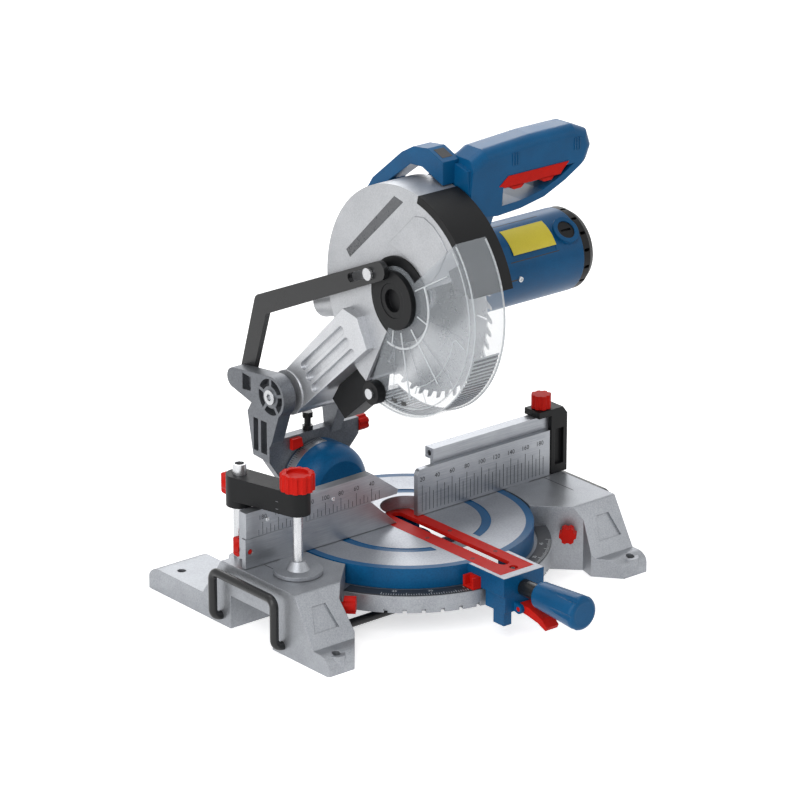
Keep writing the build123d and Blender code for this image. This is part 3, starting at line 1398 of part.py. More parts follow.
export_step(armature.part, "parts/armature.step")

# Gear housing between the guard and the motor
ARBOR_BEARING_R = 15.0
ROTOR_BEARING_R = 11.0
with BuildPart() as gear_housing:
    with BuildSketch(Plane.YZ.offset(GUARD_RIGHT)):
        add(hull_bar((AXIS_Y, AXIS_Z), CASE_R, (MOTOR_Y, MOTOR_Z), MOTOR_R))
    extrude(amount=CASE_RIGHT - GUARD_RIGHT)
    with BuildSketch(Plane.YZ.offset(GEAR_LEFT)):
        add(hull_bar((AXIS_Y, AXIS_Z), 31, (MOTOR_Y, MOTOR_Z), 13))
    extrude(amount=GEAR_W + 2, mode=Mode.SUBTRACT)
    with BuildSketch(Plane.YZ.offset(GUARD_RIGHT - 1)):
        with Locations((AXIS_Y, AXIS_Z)):
            Circle(ARBOR_BEARING_R)
    extrude(amount=CASE_RIGHT - GUARD_RIGHT, mode=Mode.SUBTRACT)
    with BuildSketch(Plane.YZ.offset(GEAR_LEFT + GEAR_W)):
        with Locations((MOTOR_Y, MOTOR_Z)):
            Circle(ROTOR_BEARING_R)
    extrude(amount=30, mode=Mode.SUBTRACT)
gear_housing.part.label = "gear_housing"
export_step(gear_housing.part, "parts/gear_housing.step")

with BuildPart() as bearings:
    for start in (GUARD_RIGHT, CASE_RIGHT - 7):
        with BuildSketch(Plane.YZ.offset(start)):
            with Locations((AXIS_Y, AXIS_Z)):
                Circle(ARBOR_BEARING_R)
                Circle(ARBOR_R + RUN, mode=Mode.SUBTRACT)
        extrude(amount=5)
    for start in (CASE_RIGHT - 6, MOTOR_RIGHT - 15):
        with BuildSketch(Plane.YZ.offset(start)):
            with Locations((MOTOR_Y, MOTOR_Z)):
                Circle(ROTOR_BEARING_R)
                Circle(5 + RUN, mode=Mode.SUBTRACT)
        extrude(amount=6)
bearings.part.label = "bearings"
export_step(bearings.part, "parts/bearings.step")

# Motor housing with a flat on its front and two brush holders
BRUSH_ANGLE = 135.0
BRUSH_X = BODY_RIGHT - 16
with BuildPart() as motor_housing:
    with BuildSketch(Plane.YZ.offset(CASE_RIGHT)):
        with Locations((MOTOR_Y, MOTOR_Z)):
            Circle(MOTOR_R)
    extrude(amount=BODY_RIGHT - CASE_RIGHT)
    for angle in (BRUSH_ANGLE, BRUSH_ANGLE + 180):
        boss = turn(MOTOR_Y, MOTOR_Z, 30, angle)
        boss_plane = Plane(
            origin=(BRUSH_X, boss[0], boss[1]),
            x_dir=(1, 0, 0),
            z_dir=(0, cos(radians(angle)), sin(radians(angle))),
        )
        with BuildSketch(boss_plane):
            Circle(15)
        extrude(amount=17)
    with BuildSketch(Plane.YZ.offset(CASE_RIGHT)):
        with Locations((MOTOR_Y, MOTOR_Z)):
            Circle(MOTOR_R - MOTOR_WALL)
    extrude(amount=BODY_RIGHT - CASE_RIGHT, mode=Mode.SUBTRACT)
    for angle in (BRUSH_ANGLE, BRUSH_ANGLE + 180):
        boss = turn(MOTOR_Y, MOTOR_Z, 20, angle)
        boss_plane = Plane(
            origin=(BRUSH_X, boss[0], boss[1]),
            x_dir=(1, 0, 0),
            z_dir=(0, cos(radians(angle)), sin(radians(angle))),
        )
        with BuildSketch(boss_plane):
            Circle(10)
        extrude(amount=40, mode=Mode.SUBTRACT)
    # Panel recess on the front upper side, along the body
    panel = turn(MOTOR_Y, MOTOR_Z, MOTOR_R - 1.2, 146)
    with BuildSketch(
        Plane(
            origin=(CASE_RIGHT + 84, panel[0], panel[1]),
            x_dir=(1, 0, 0),
            z_dir=(0, cos(radians(146)), sin(radians(146))),
        )
    ):
        Rectangle(84, 18)
    extrude(amount=10, mode=Mode.SUBTRACT)
motor_housing.part.label = "motor_housing"
export_step(motor_housing.part, "parts/motor_housing.step")

with BuildPart() as brush_caps:
    for angle in (BRUSH_ANGLE, BRUSH_ANGLE + 180):
        boss = turn(MOTOR_Y, MOTOR_Z, 38, angle)
        boss_plane = Plane(
            origin=(BRUSH_X, boss[0], boss[1]),
            x_dir=(1, 0, 0),
            z_dir=(0, cos(radians(angle)), sin(radians(angle))),
        )
        with BuildSketch(boss_plane):
            Circle(10)
        extrude(amount=8)
        with BuildSketch(boss_plane.offset(8)):
            Rectangle(13, 2.4)
        extrude(amount=-2.5, mode=Mode.SUBTRACT)
brush_caps.part.label = "brush_caps"
export_step(brush_caps.part, "parts/brush_caps.step")

with BuildPart() as motor_end_cap:
    with BuildSketch(Plane.YZ.offset(BODY_RIGHT)):
        with Locations((MOTOR_Y, MOTOR_Z)):
            Circle(MOTOR_R - 0.5)
    extrude(amount=9)
    with BuildSketch(Plane.YZ.offset(BODY_RIGHT + 9)):
        with Locations((MOTOR_Y, MOTOR_Z)):
            Circle(MOTOR_R - 0.5)
    extrude(amount=MOTOR_RIGHT - BODY_RIGHT - 9, taper=32)
    with BuildSketch(Plane.YZ.offset(BODY_RIGHT)):
        with Locations((MOTOR_Y, MOTOR_Z)):
            Circle(MOTOR_R - 5)
            Circle(ROTOR_BEARING_R + 4, mode=Mode.SUBTRACT)
    extrude(amount=9, mode=Mode.SUBTRACT)
    with BuildSketch(Plane.YZ.offset(BODY_RIGHT)):
        with Locations((MOTOR_Y, MOTOR_Z)):
            Circle(ROTOR_BEARING_R)
    extrude(amount=8, mode=Mode.SUBTRACT)
    with BuildSketch(Plane.YZ.offset(BODY_RIGHT)):
        with Locations((MOTOR_Y, MOTOR_Z)):
            Circle(6)
    extrude(amount=11, mode=Mode.SUBTRACT)
    # Cooling slots round the rim
    for angle in range(0, 360, 24):
        slot = turn(MOTOR_Y, MOTOR_Z, MOTOR_R - 8, angle)
        with BuildSketch(
            Plane(
                origin=(BODY_RIGHT + 4.8, slot[0], slot[1]),
                x_dir=(1, 0, 0),
                z_dir=(0, cos(radians(angle)), sin(radians(angle))),
            )
        ):
            SlotOverall(7, 3.4)
        extrude(amount=20, mode=Mode.SUBTRACT)
motor_end_cap.part.label = "motor_end_cap"
export_step(motor_end_cap.part, "parts/motor_end_cap.step")

# Main handle: closed loop across the head with the grip on top
grip_top = TABLE_Z + 406
grip_low = TABLE_Z + 367
with BuildPart() as main_handle:
    with BuildSketch(Plane.XZ.offset(-GRIP_Y - 20)) as loop_face:
        with BuildLine():
            Polyline(
                (24, TABLE_Z + 352),
                (30, TABLE_Z + 394),
                (46, grip_top - 4),
                (110, grip_top),
                (164, grip_top),
                (183, grip_top - 8),
                (GRIP_RIGHT, grip_low + 14),
                (GRIP_RIGHT - 4, grip_low + 5),
                (150, TABLE_Z + 352),
                (122, TABLE_Z + 340),
                (90, TABLE_Z + 334),
                (60, TABLE_Z + 332),
                (30, TABLE_Z + 336),
                close=True,
            )
        make_face()
        fillet(loop_face.vertices().group_by(Axis.X)[-1], 6)
        with BuildLine():
            Polyline(
                (68, grip_low),
                (162, grip_low),
                (144, TABLE_Z + 357),
                (120, TABLE_Z + 347.5),
                (92, TABLE_Z + 342.5),
                (66, TABLE_Z + 341),
                close=True,
            )
        make_face(mode=Mode.SUBTRACT)
    extrude(amount=40)
    for side in (GRIP_Y - 20, GRIP_Y + 20):
        rim = main_handle.edges().filter_by_position(Axis.Y, side - 0.1, side + 0.1)
        fillet(rim.filter_by(lambda edge: edge.center().Z > grip_low + 9), 11)
    # Neck down to the gear housing
    with BuildSketch(Plane.YZ.offset(GUARD_RIGHT + 2)):
        with BuildLine():
            Polyline(
                (GRIP_Y + 20, TABLE_Z + 392),
                (GRIP_Y - 16, TABLE_Z + 384),
                (GRIP_Y - 20, TABLE_Z + 340),
                (AXIS_Y - 20, AXIS_Z + 26),
                (MOTOR_Y + 10, MOTOR_Z + 30),
                (MOTOR_Y, MOTOR_Z + 62),
                (AXIS_Y + 26, TABLE_Z + 360),
                close=True,
            )
        make_face()
    extrude(amount=34)
    with BuildSketch(Plane.YZ.offset(GUARD_RIGHT)):
        add(hull_bar((AXIS_Y, AXIS_Z), CASE_R, (MOTOR_Y, MOTOR_Z), MOTOR_R))
    extrude(amount=80, mode=Mode.SUBTRACT)
    # Pocket for the trigger
    with BuildSketch(Plane.XZ.offset(-GRIP_Y - 11)):
        with Locations((TRIGGER_X, grip_low + 5)):
            Rectangle(TRIGGER_L + 1, 13)
    extrude(amount=22, mode=Mode.SUBTRACT)
main_handle.part.label = "main_handle"
export_step(main_handle.part, "parts/main_handle.step")

trigger_low = grip_low - 4.5
with BuildPart() as trigger:
    with BuildSketch(Plane.XZ.offset(-GRIP_Y - 10)) as trigger_face:
        with Locations((TRIGGER_X, trigger_low + TRIGGER_T / 2)):
            Rectangle(TRIGGER_L, TRIGGER_T)
        fillet(trigger_face.vertices().group_by(Axis.Y)[0], 3)
    extrude(amount=20)
    # Slots that the lock-off tabs slide along
    with BuildSketch(Plane.XY.offset(trigger_low)):
        for sign in (-1, 1):
            with Locations((TRIGGER_X + sign * (LOCK_OFF_X - LOCK_OFF_TRAVEL / 2), GRIP_Y)):
                Rectangle(LOCK_OFF_STEM + LOCK_OFF_TRAVEL + 2 * GAP, 6 + 2 * GAP)
    extrude(amount=4, mode=Mode.SUBTRACT)
trigger.part.label = "trigger"
export_step(trigger.part, "parts/trigger.step")

for sign, name in ((-1, "left"), (1, "right")):
    middle = TRIGGER_X + sign * LOCK_OFF_X
    with BuildPart() as lock_off:
        with BuildSketch(Plane.XZ.offset(-GRIP_Y - 9)):
            with BuildLine():
                Polyline(
                    (middle - 13, trigger_low - GAP),
                    (middle + 13, trigger_low - GAP),
                    (middle + 6 + sign * 3, trigger_low - 6.5),
                    (middle - 6 + sign * 3, trigger_low - 6.5),
                    close=True,
                )
            make_face()
        extrude(amount=18)
        with BuildSketch(Plane.XY.offset(trigger_low - 1)):
            with Locations((middle, GRIP_Y)):
                Rectangle(LOCK_OFF_STEM, 6)
        extrude(amount=4.5)
    lock_off.part.label = name + "_lock_off"
    export_step(lock_off.part, "parts/" + name + "_lock_off.step")

# Carrying handle behind the main handle
with BuildPart() as carry_handle:
    with BuildSketch(Plane.YZ.offset(VISOR_RIGHT + 3)):
        with BuildLine():
            Polyline(
                turn(AXIS_Y, AXIS_Z, GUARD_R - 8, 26),
                turn(AXIS_Y, AXIS_Z, GUARD_R + 12, 28),
                (66, TABLE_Z + 350),
                (20, TABLE_Z + 388),
                (2, TABLE_Z + 398),
                (-20, TABLE_Z + 401),
                (-44, TABLE_Z + 392),
                (-44, TABLE_Z + 368),
                (-12, TABLE_Z + 380),
                (6, TABLE_Z + 379),
                (40, TABLE_Z + 354),
                turn(AXIS_Y, AXIS_Z, GUARD_R - 8, 46),
                close=True,
            )
        make_face()
    extrude(amount=22)
    with BuildSketch(Plane.YZ.offset(0)):
        with Locations((AXIS_Y, AXIS_Z)):
            Circle(GUARD_R)
    extrude(amount=60, mode=Mode.SUBTRACT)
    add(main_handle.part, mode=Mode.SUBTRACT)
carry_handle.part.label = "carry_handle"
export_step(carry_handle.part, "parts/carry_handle.step")

# Dust chute under the arm
with BuildPart() as dust_chute:
    with BuildSketch(Plane.YZ.offset(-14)):
        with BuildLine():
            Polyline(
                (104, PIVOT_Z),
                (92, PIVOT_Z + 19),
                (34, PIVOT_Z + 69.75),
                (40, PIVOT_Z + 54),
                (46, PIVOT_Z + 16),
                (84, PIVOT_Z - 16),
                close=True,
            )
        make_face()
    extrude(amount=26)
    with BuildSketch(Plane.YZ.offset(-20)):
        with Locations((AXIS_Y, AXIS_Z)):
            Circle(GUARD_R)
    extrude(amount=60, mode=Mode.SUBTRACT)
dust_chute.part.label = "dust_chute"
export_step(dust_chute.part, "parts/dust_chute.step")
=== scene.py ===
from math import cos, pi, radians, sin

import bmesh
import bpy
from mathutils import Matrix, Vector


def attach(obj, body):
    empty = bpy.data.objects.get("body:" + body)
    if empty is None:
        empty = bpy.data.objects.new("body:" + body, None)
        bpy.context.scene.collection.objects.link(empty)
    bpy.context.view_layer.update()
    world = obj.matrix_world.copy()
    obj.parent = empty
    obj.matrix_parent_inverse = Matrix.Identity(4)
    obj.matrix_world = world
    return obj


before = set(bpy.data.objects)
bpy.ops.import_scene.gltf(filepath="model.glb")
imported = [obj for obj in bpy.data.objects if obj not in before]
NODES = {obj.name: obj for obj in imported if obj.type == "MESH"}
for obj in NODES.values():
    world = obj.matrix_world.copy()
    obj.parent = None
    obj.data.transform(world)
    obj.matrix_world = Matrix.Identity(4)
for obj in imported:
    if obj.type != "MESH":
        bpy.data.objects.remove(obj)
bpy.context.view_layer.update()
MM = 0.001

# Places taken from the part, in millimetres; an axis along X is given by its Y and Z
TABLE_Z = 70.0
RING_TOP = 48.9
HUB = (-22.0, 322.0)
MOTOR_AXIS = (11.012, 314.983)
MOTOR_R = 44
DOME_R = 45.0
DOME_REAR = 150.0
UPPER_GUARD_LEFT = -27.0
CLAMP_HALF = 13.2

RIGHT = (1, 0, 0)
LEFT = (-1, 0, 0)
FRONT = (0, -1, 0)
REAR = (0, 1, 0)
UP = (0, 0, 1)


# Materials

# Noise values where the dark tone ends and the light tone begins
DARK_TO = 0.35
LIGHT_FROM = 0.65
# Share of the fine and of the slow noise in their sum
NOISE_SHARE = 0.5
BUMP_DEPTH = 0.4 * MM
# Sockets of a Mix node share their names, so they are taken by number
MIX_FACTOR = 0
COLOUR_A, COLOUR_B, COLOUR_OUT = 6, 7, 2
FLOAT_A, FLOAT_B, FLOAT_OUT = 2, 3, 0


def node(tree, kind, **values):
    """Add a shader node and set its properties and inputs by name."""
    made = tree.nodes.new(kind)
    for key, value in values.items():
        if hasattr(made, key):
            setattr(made, key, value)
        else:
            made.inputs[key.replace("_", " ")].default_value = value
    return made


def rgb(r, g, b):
    """Colour from screen values of 0 to 255."""
    out = []
    for value in (r, g, b):
        v = value / 255
        out.append(v / 12.92 if v <= 0.04045 else ((v + 0.055) / 1.055) ** 2.4)
    return (*out, 1.0)


class Finish:
    """Procedural material: two tones mixed by noise, grain in bump and roughness, softened edges."""

    def __init__(self, name, light, dark, rough, metallic=0.0, grain=900.0, bump=0.05, stretch=(1, 1, 1),
                 blotch=18.0, edge=0.7, spread=0.08, gloss=0.5):
        self.mat = bpy.data.materials.new(name)
        self.mat.use_nodes = True
        tree = self.tree = self.mat.node_tree
        self.shader = tree.nodes["Principled BSDF"]
        self.shader.inputs["Metallic"].default_value = metallic
        self.shader.inputs["Specular IOR Level"].default_value = gloss
        self.coords = node(tree, "ShaderNodeTexCoord")
        mapped = node(tree, "ShaderNodeMapping", Scale=stretch)
        tree.links.new(self.coords.outputs["Object"], mapped.inputs["Vector"])
        slow = node(tree, "ShaderNodeTexNoise", Scale=blotch, Detail=4.0, Roughness=0.6)
        fine = node(tree, "ShaderNodeTexNoise", Scale=grain, Detail=3.0, Roughness=0.55)
        tree.links.new(self.coords.outputs["Object"], slow.inputs["Vector"])
        tree.links.new(mapped.outputs["Vector"], fine.inputs["Vector"])
        half = self.math("MULTIPLY", slow.outputs["Fac"], NOISE_SHARE)
        self.noise = self.math("MULTIPLY_ADD", fine.outputs["Fac"], NOISE_SHARE, half)
        tree.links.new(self.tones(light, dark), self.shader.inputs["Base Color"])
        sheen = node(tree, "ShaderNodeMapRange", From_Min=0.3, From_Max=0.7,
                     To_Min=rough - spread, To_Max=rough + spread)
        tree.links.new(self.noise, sheen.inputs["Value"])
        tree.links.new(sheen.outputs["Result"], self.shader.inputs["Roughness"])
        soft = node(tree, "ShaderNodeBevel", samples=4, Radius=edge * MM)
        relief = node(tree, "ShaderNodeBump", Strength=bump, Distance=BUMP_DEPTH)
        tree.links.new(fine.outputs["Fac"], relief.inputs["Height"])
        tree.links.new(soft.outputs["Normal"], relief.inputs["Normal"])
        tree.links.new(relief.outputs["Normal"], self.shader.inputs["Normal"])

    def math(self, operation, *values):
        """Math node on sockets or numbers; gives its output socket."""
        made = node(self.tree, "ShaderNodeMath", operation=operation)
        for socket, value in zip(made.inputs, values):
            if isinstance(value, (int, float)):
                socket.default_value = value
            else:
                self.tree.links.new(value, socket)
        return made.outputs[0]

    def tones(self, light, dark):
        """Socket of a colour that runs from dark to light with the noise."""
        ramp = node(self.tree, "ShaderNodeValToRGB")
        first, last = ramp.color_ramp.elements
        first.position = DARK_TO
        first.color = dark
        last.position = LIGHT_FROM
        last.color = light
        self.tree.links.new(self.noise, ramp.inputs["Fac"])
        return ramp.outputs["Color"]

    def position(self):
        """Sockets of X, Y and Z in metres."""
        split = node(self.tree, "ShaderNodeSeparateXYZ")
        self.tree.links.new(self.coords.outputs["Object"], split.inputs["Vector"])
        return split.outputs["X"], split.outputs["Y"], split.outputs["Z"]

    def patch(self, mask, light, dark, metallic, rough):
        """Lay a second finish over the first where the mask is 1."""
        tree = self.tree
        colour_in = self.shader.inputs["Base Color"]
        colour = node(tree, "ShaderNodeMix", data_type="RGBA")
        tree.links.new(mask, colour.inputs[MIX_FACTOR])
        tree.links.new(colour_in.links[0].from_socket, colour.inputs[COLOUR_A])
        tree.links.new(self.tones(light, dark), colour.inputs[COLOUR_B])
        tree.links.new(colour.outputs[COLOUR_OUT], colour_in)
        tree.links.new(self.math("MULTIPLY", mask, metallic), self.shader.inputs["Metallic"])
        rough_in = self.shader.inputs["Roughness"]
        sheen = node(tree, "ShaderNodeMix", data_type="FLOAT")
        tree.links.new(mask, sheen.inputs[MIX_FACTOR])
        tree.links.new(rough_in.links[0].from_socket, sheen.inputs[FLOAT_A])
        sheen.inputs[FLOAT_B].default_value = rough
        tree.links.new(sheen.outputs[FLOAT_OUT], rough_in)

    def see_through(self, alpha):
        """Let the background show; 0 is clear and 1 is solid."""
        self.shader.inputs["Alpha"].default_value = alpha


SILVER = (rgb(168, 171, 176), rgb(136, 139, 144))
BLUE = (rgb(8, 92, 142), rgb(5, 74, 118))
RED = (rgb(214, 34, 24), rgb(184, 24, 18))
BLACK = (rgb(20, 21, 23), rgb(11, 12, 13))

cast = Finish("cast_aluminium", *SILVER, rough=0.42, metallic=0.75, grain=700, bump=0.16, edge=0.9)
machined = Finish("machined_aluminium", rgb(170, 173, 178), rgb(138, 141, 147), rough=0.36, metallic=0.8,
                  grain=260, bump=0.05, stretch=(0.12, 6, 6), edge=0.5)
guard_metal = Finish("guard_aluminium", rgb(192, 194, 197), rgb(166, 168, 172), rough=0.4, metallic=0.7,
                     grain=600, bump=0.06, edge=1.0)
# Lighter copy of the cast aluminium for the saw arm: painted light, for the stronger light that falls on the
# arm
arm_lit_cast = Finish("arm_lit_aluminium", rgb(212, 214, 217), rgb(182, 184, 188), rough=0.36, metallic=0.7,
                  grain=700, bump=0.12, edge=1.0)
grey = Finish("grey_casting", rgb(126, 129, 134), rgb(96, 99, 104), rough=0.45, metallic=0.7,
              grain=650, bump=0.18, edge=0.9)
window = Finish("grey_window", rgb(96, 98, 102), rgb(70, 72, 76), rough=0.3, grain=500, bump=0.03, edge=0.6)
blue = Finish("blue_plastic", *BLUE, rough=0.34, grain=1500, bump=0.05, edge=1.2, gloss=0.2)
black = Finish("black_plastic", *BLACK, rough=0.45, grain=1500, bump=0.08, edge=0.9, gloss=0.2)
red = Finish("red_plastic", *RED, rough=0.48, grain=1500, bump=0.05, edge=0.7, gloss=0.1)
coated = Finish("black_steel", rgb(30, 31, 33), rgb(18, 19, 20), rough=0.32, metallic=0.2,
                grain=900, bump=0.04, edge=0.5)
bright = Finish("bright_steel", rgb(214, 215, 217), rgb(176, 178, 181), rough=0.26, metallic=0.9,
                grain=300, bump=0.04, stretch=(6, 6, 0.3), edge=0.4)
blade_steel = Finish("blade_steel", rgb(222, 223, 225), rgb(196, 197, 200), rough=0.3, metallic=0.85,
                     grain=340, bump=0.04, edge=0.2)
scale_dark = Finish("scale_dark", rgb(62, 64, 68), rgb(48, 50, 54), rough=0.4, metallic=0.4,
                    grain=800, bump=0.04, edge=0.3)
ink = Finish("scale_ink", rgb(40, 41, 44), rgb(26, 27, 30), rough=0.55, grain=1500, bump=0.02, edge=0.05)
chalk = Finish("scale_white", rgb(226, 228, 230), rgb(208, 210, 212), rough=0.5,
               grain=1500, bump=0.02, edge=0.05)
yellow = Finish("yellow_plate", rgb(232, 214, 58), rgb(218, 198, 44), rough=0.35,
                grain=1200, bump=0.02, edge=0.2)
clear = Finish("clear_plastic", rgb(206, 212, 218), rgb(190, 197, 204), rough=0.12,
               grain=400, bump=0.01, edge=0.5, spread=0.03)
clear.see_through(0.24)
# Near-white, nearly solid plastic for the lower guard's edges, lines and light cross bars: painted highlights
# for light caught on the clear plastic
clear_rib_highlight = Finish("clear_rib_highlight", rgb(240, 243, 246), rgb(222, 228, 232), rough=0.15,
                   grain=400, bump=0.01, edge=0.3, spread=0.03)
clear_rib_highlight.see_through(0.72)
# Near-black see-through plastic: painted shade in the dark bars between the lower guard's light bars, and the
# colour of two dark marks on its face
shade_and_marks = Finish("shade_and_mark_plastic", rgb(30, 31, 34), rgb(20, 21, 23), rough=0.2,
               grain=400, bump=0.01, edge=0.2, spread=0.03)
shade_and_marks.see_through(0.92)

# The turntable is painted, with a machined top that leaves the rim and the sunk ring blue
TOP_SLACK = 0.3
MACHINED_R = 121.5
ARM_TOP_Y = -128.0
table = Finish("turntable_paint", *BLUE, rough=0.36, grain=500, bump=0.06, edge=0.9, gloss=0.2)
table_x, table_y, table_z = table.position()
square = table.math("ADD", table.math("MULTIPLY", table_x, table_x), table.math("MULTIPLY", table_y, table_y))
inside = table.math("LESS_THAN", table.math("SQRT", square), MACHINED_R * MM)
on_arm = table.math("LESS_THAN", table_y, ARM_TOP_Y * MM)
over = table.math("GREATER_THAN", table_z, (TABLE_Z - TOP_SLACK) * MM)
under = table.math("LESS_THAN", table_z, (TABLE_Z + TOP_SLACK) * MM)
level = table.math("MULTIPLY", over, under)
top_mask = table.math("MULTIPLY", level, table.math("MAXIMUM", inside, on_arm))
table.patch(top_mask, rgb(168, 171, 177), rgb(138, 141, 148), metallic=0.75, rough=0.4)

LOOKS = (
    (cast, ["base_casting", "base_ring", "gear_housing", "clamp_pad"]),
    (machined, ["fence_casting", "left_sliding_fence", "right_sliding_fence"]),
    (guard_metal, ["upper_guard"]),
    (arm_lit_cast, ["saw_arm"]),
    (grey, ["bevel_arm"]),
    (table, ["turntable"]),
    (blue, ["motor_housing", "main_handle", "carry_handle", "mitre_lock_knob"]),
    (black, ["motor_end_cap", "brush_caps", "dust_chute", "guard_hub", "hub_cover", "guard_roller",
             "right_fence_post", "clamp_arm", "guard_front_cover"]),
    (red, ["table_insert", "trigger", "left_lock_off", "right_lock_off", "detent_lever", "mitre_pointer",
           "bevel_pointer", "clamp_knob", "clamp_wing_screw", "left_extension_knob", "right_extension_knob",
           "left_fence_screw", "right_fence_knob", "bevel_lock_lever", "travel_lock_pin"]),
    (clear, ["lower_guard"]),
    (scale_dark, ["mitre_scale"]),
    (coated, ["left_extension_bar", "right_extension_bar", "guard_link", "mitre_lock_rod", "depth_stop"]),
    (bright, ["blade_flanges", "arbor_bolt", "arbor", "drive_wheel", "bearings", "clamp_column",
              "clamp_spindle", "chop_shaft", "tilt_bolt", "turntable_bolt", "fence_bolts", "guard_screws",
              "armature"]),
    (blade_steel, ["blade"]),
)
for finish, names in LOOKS:
    for name in names:
        slots = NODES[name].data.materials
        slots.clear()
        slots.append(finish.mat)


# Mesh helpers: all take millimetres and degrees

FLAT = 0
HOOP_STEP = 3.0
WIRE_SIDES = 8
SCREW_SIDES = 18
SCREW_SINK = 0.6
PRINT = 0.1


def place(origin, x_axis, z_axis):
    """Frame at a point with its X and Z given."""
    z = Vector(z_axis).normalized()
    x = Vector(x_axis).normalized()
    x = (x - z * x.dot(z)).normalized()
    y = z.cross(x)
    turn = Matrix((x, y, z)).transposed().to_4x4()
    return Matrix.Translation(Vector(origin)) @ turn


def around(axis, radius, angle, x):
    """Point at an angle round an axis along X; 0 degrees is to the rear and 90 is up."""
    return Vector((x, axis[0] + radius * cos(radians(angle)), axis[1] + radius * sin(radians(angle))))


def bar(width, height):
    """Rectangle centred on the origin."""
    x, y = width / 2, height / 2
    return [(-x, -y), (x, -y), (x, y), (-x, y)]


def tick_size(reading, steps, sizes):
    """Size for the first step that divides the reading, or else the last size."""
    for step, size in zip(steps, sizes):
        if reading % step == 0:
            return size
    return sizes[-1]


class Piece:
    """Mesh being put together, then handed to a body as one named piece."""

    def __init__(self, name, body, finish, slot):
        self.name = name
        self.body = body
        self.finish = finish
        self.slot = slot
        self.bm = bmesh.new()

    def prism(self, outline, at, depth):
        """Straight prism: outline points in the frame's XY, from its plane along its Z."""
        lows = [self.bm.verts.new(at @ Vector((x, y, 0))) for x, y in outline]
        highs = [self.bm.verts.new(at @ Vector((x, y, depth))) for x, y in outline]
        count = len(outline)
        self.bm.faces.new(list(reversed(lows)))
        self.bm.faces.new(highs)
        for i in range(count):
            j = (i + 1) % count
            self.bm.faces.new((lows[i], lows[j], highs[j], highs[i]))

    def turned(self, profile, at, sides):
        """Body turned round the frame's Z from (radius, height) points that start and end on the axis."""
        rings = []
        for radius, height in profile:
            if radius == 0:
                rings.append([self.bm.verts.new(at @ Vector((0, 0, height)))])
                continue
            ring = []
            for k in range(sides):
                turn = 2 * pi * k / sides
                point = Vector((radius * cos(turn), radius * sin(turn), height))
                ring.append(self.bm.verts.new(at @ point))
            rings.append(ring)
        for low, high in zip(rings, rings[1:]):
            for k in range(sides):
                n = (k + 1) % sides
                if len(low) == 1:
                    self.bm.faces.new((low[0], high[n], high[k]))
                elif len(high) == 1:
                    self.bm.faces.new((low[k], low[n], high[0]))
                else:
                    self.bm.faces.new((low[k], low[n], high[n], high[k]))

    def sweep(self, sections):
        """Skin over a row of equal point loops, closed at both ends."""
        rows = [[self.bm.verts.new(point) for point in section] for section in sections]
        count = len(rows[0])
        for low, high in zip(rows, rows[1:]):
            for i in range(count):
                j = (i + 1) % count
                self.bm.faces.new((low[i], low[j], high[j], high[i]))
        self.bm.faces.new(list(reversed(rows[0])))
        self.bm.faces.new(rows[-1])

    def hoop(self, axis, inner, outer, left, right, start, stop, step=HOOP_STEP):
        """Bent bar round an axis along X, from one angle to the other."""
        count = max(1, round(abs(stop - start) / step))
        corners = ((left, inner), (right, inner), (right, outer), (left, outer))
        sections = []
        for k in range(count + 1):
            angle = start + (stop - start) * k / count
            sections.append([around(axis, radius, angle, x) for x, radius in corners])
        self.sweep(sections)

    def wire(self, points, radius):
        """Thin round bar along a row of points that lie in one plane across X."""
        across = Vector(RIGHT)
        sections = []
        for k, point in enumerate(points):
            ahead = points[min(k + 1, len(points) - 1)] - points[max(k - 1, 0)]
            side = ahead.cross(across).normalized()
            turns = [2 * pi * n / WIRE_SIDES for n in range(WIRE_SIDES)]
            sections.append([point + radius * (cos(turn) * side + sin(turn) * across) for turn in turns])
        self.sweep(sections)

    def screw(self, at, radius, height=1.6):
        """Pan head with a round recess, standing on the frame's plane."""
        shoulder = height * 0.55
        crown = radius * 0.86
        recess = radius * 0.5
        recess_floor = height * 0.35
        self.turned([
            (0, -SCREW_SINK), (radius, -SCREW_SINK), (radius, shoulder), (crown, height), (recess, height),
            (recess, recess_floor), (0, recess_floor),
        ], at, SCREW_SIDES)

    def text(self, words, at, size, depth=0.12):
        """Plain figures, centred on the frame and upright in it."""
        curve = bpy.data.curves.new("figures", "FONT")
        curve.body = words
        curve.size = size
        curve.align_x = "CENTER"
        curve.align_y = "CENTER"
        curve.resolution_u = 2
        holder = bpy.data.objects.new("figures", curve)
        bpy.context.scene.collection.objects.link(holder)
        bpy.context.view_layer.update()
        mesh = bpy.data.meshes.new_from_object(holder.evaluated_get(bpy.context.evaluated_depsgraph_get()))
        start = len(self.bm.verts)
        self.bm.from_mesh(mesh)
        self.bm.verts.ensure_lookup_table()
        for vert in self.bm.verts[start:]:
            vert.co = at @ Vector((vert.co.x, vert.co.y, depth))
        bpy.data.objects.remove(holder)
        bpy.data.meshes.remove(mesh)
        bpy.data.curves.remove(curve)

    def done(self, smooth=35.0):
        """Make the object; edges under the angle are smoothed, and FLAT smooths none."""
        closed = [face for face in self.bm.faces if len(face.edges[0].link_faces) == 2]
        bmesh.ops.recalc_face_normals(self.bm, faces=closed)
        mesh = bpy.data.meshes.new(self.name)
        self.bm.to_mesh(mesh)
        self.bm.free()
        mesh.transform(Matrix.Scale(MM, 4))
        mesh.materials.append(self.finish.mat)
        if smooth:
            mesh.shade_smooth()
            mesh.set_sharp_from_angle(angle=radians(smooth))
        made = bpy.data.objects.new(self.name, mesh)
        bpy.context.scene.collection.objects.link(made)
        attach(made, self.body)


# Fence scales

SCALE_END = 186
TICK_STEP = 5
FIGURE_STEP = 20
FENCE_STEPS = (FIGURE_STEP, 10)
FENCE_TICK_W = 0.55
FENCE_FIGURE = 7.0


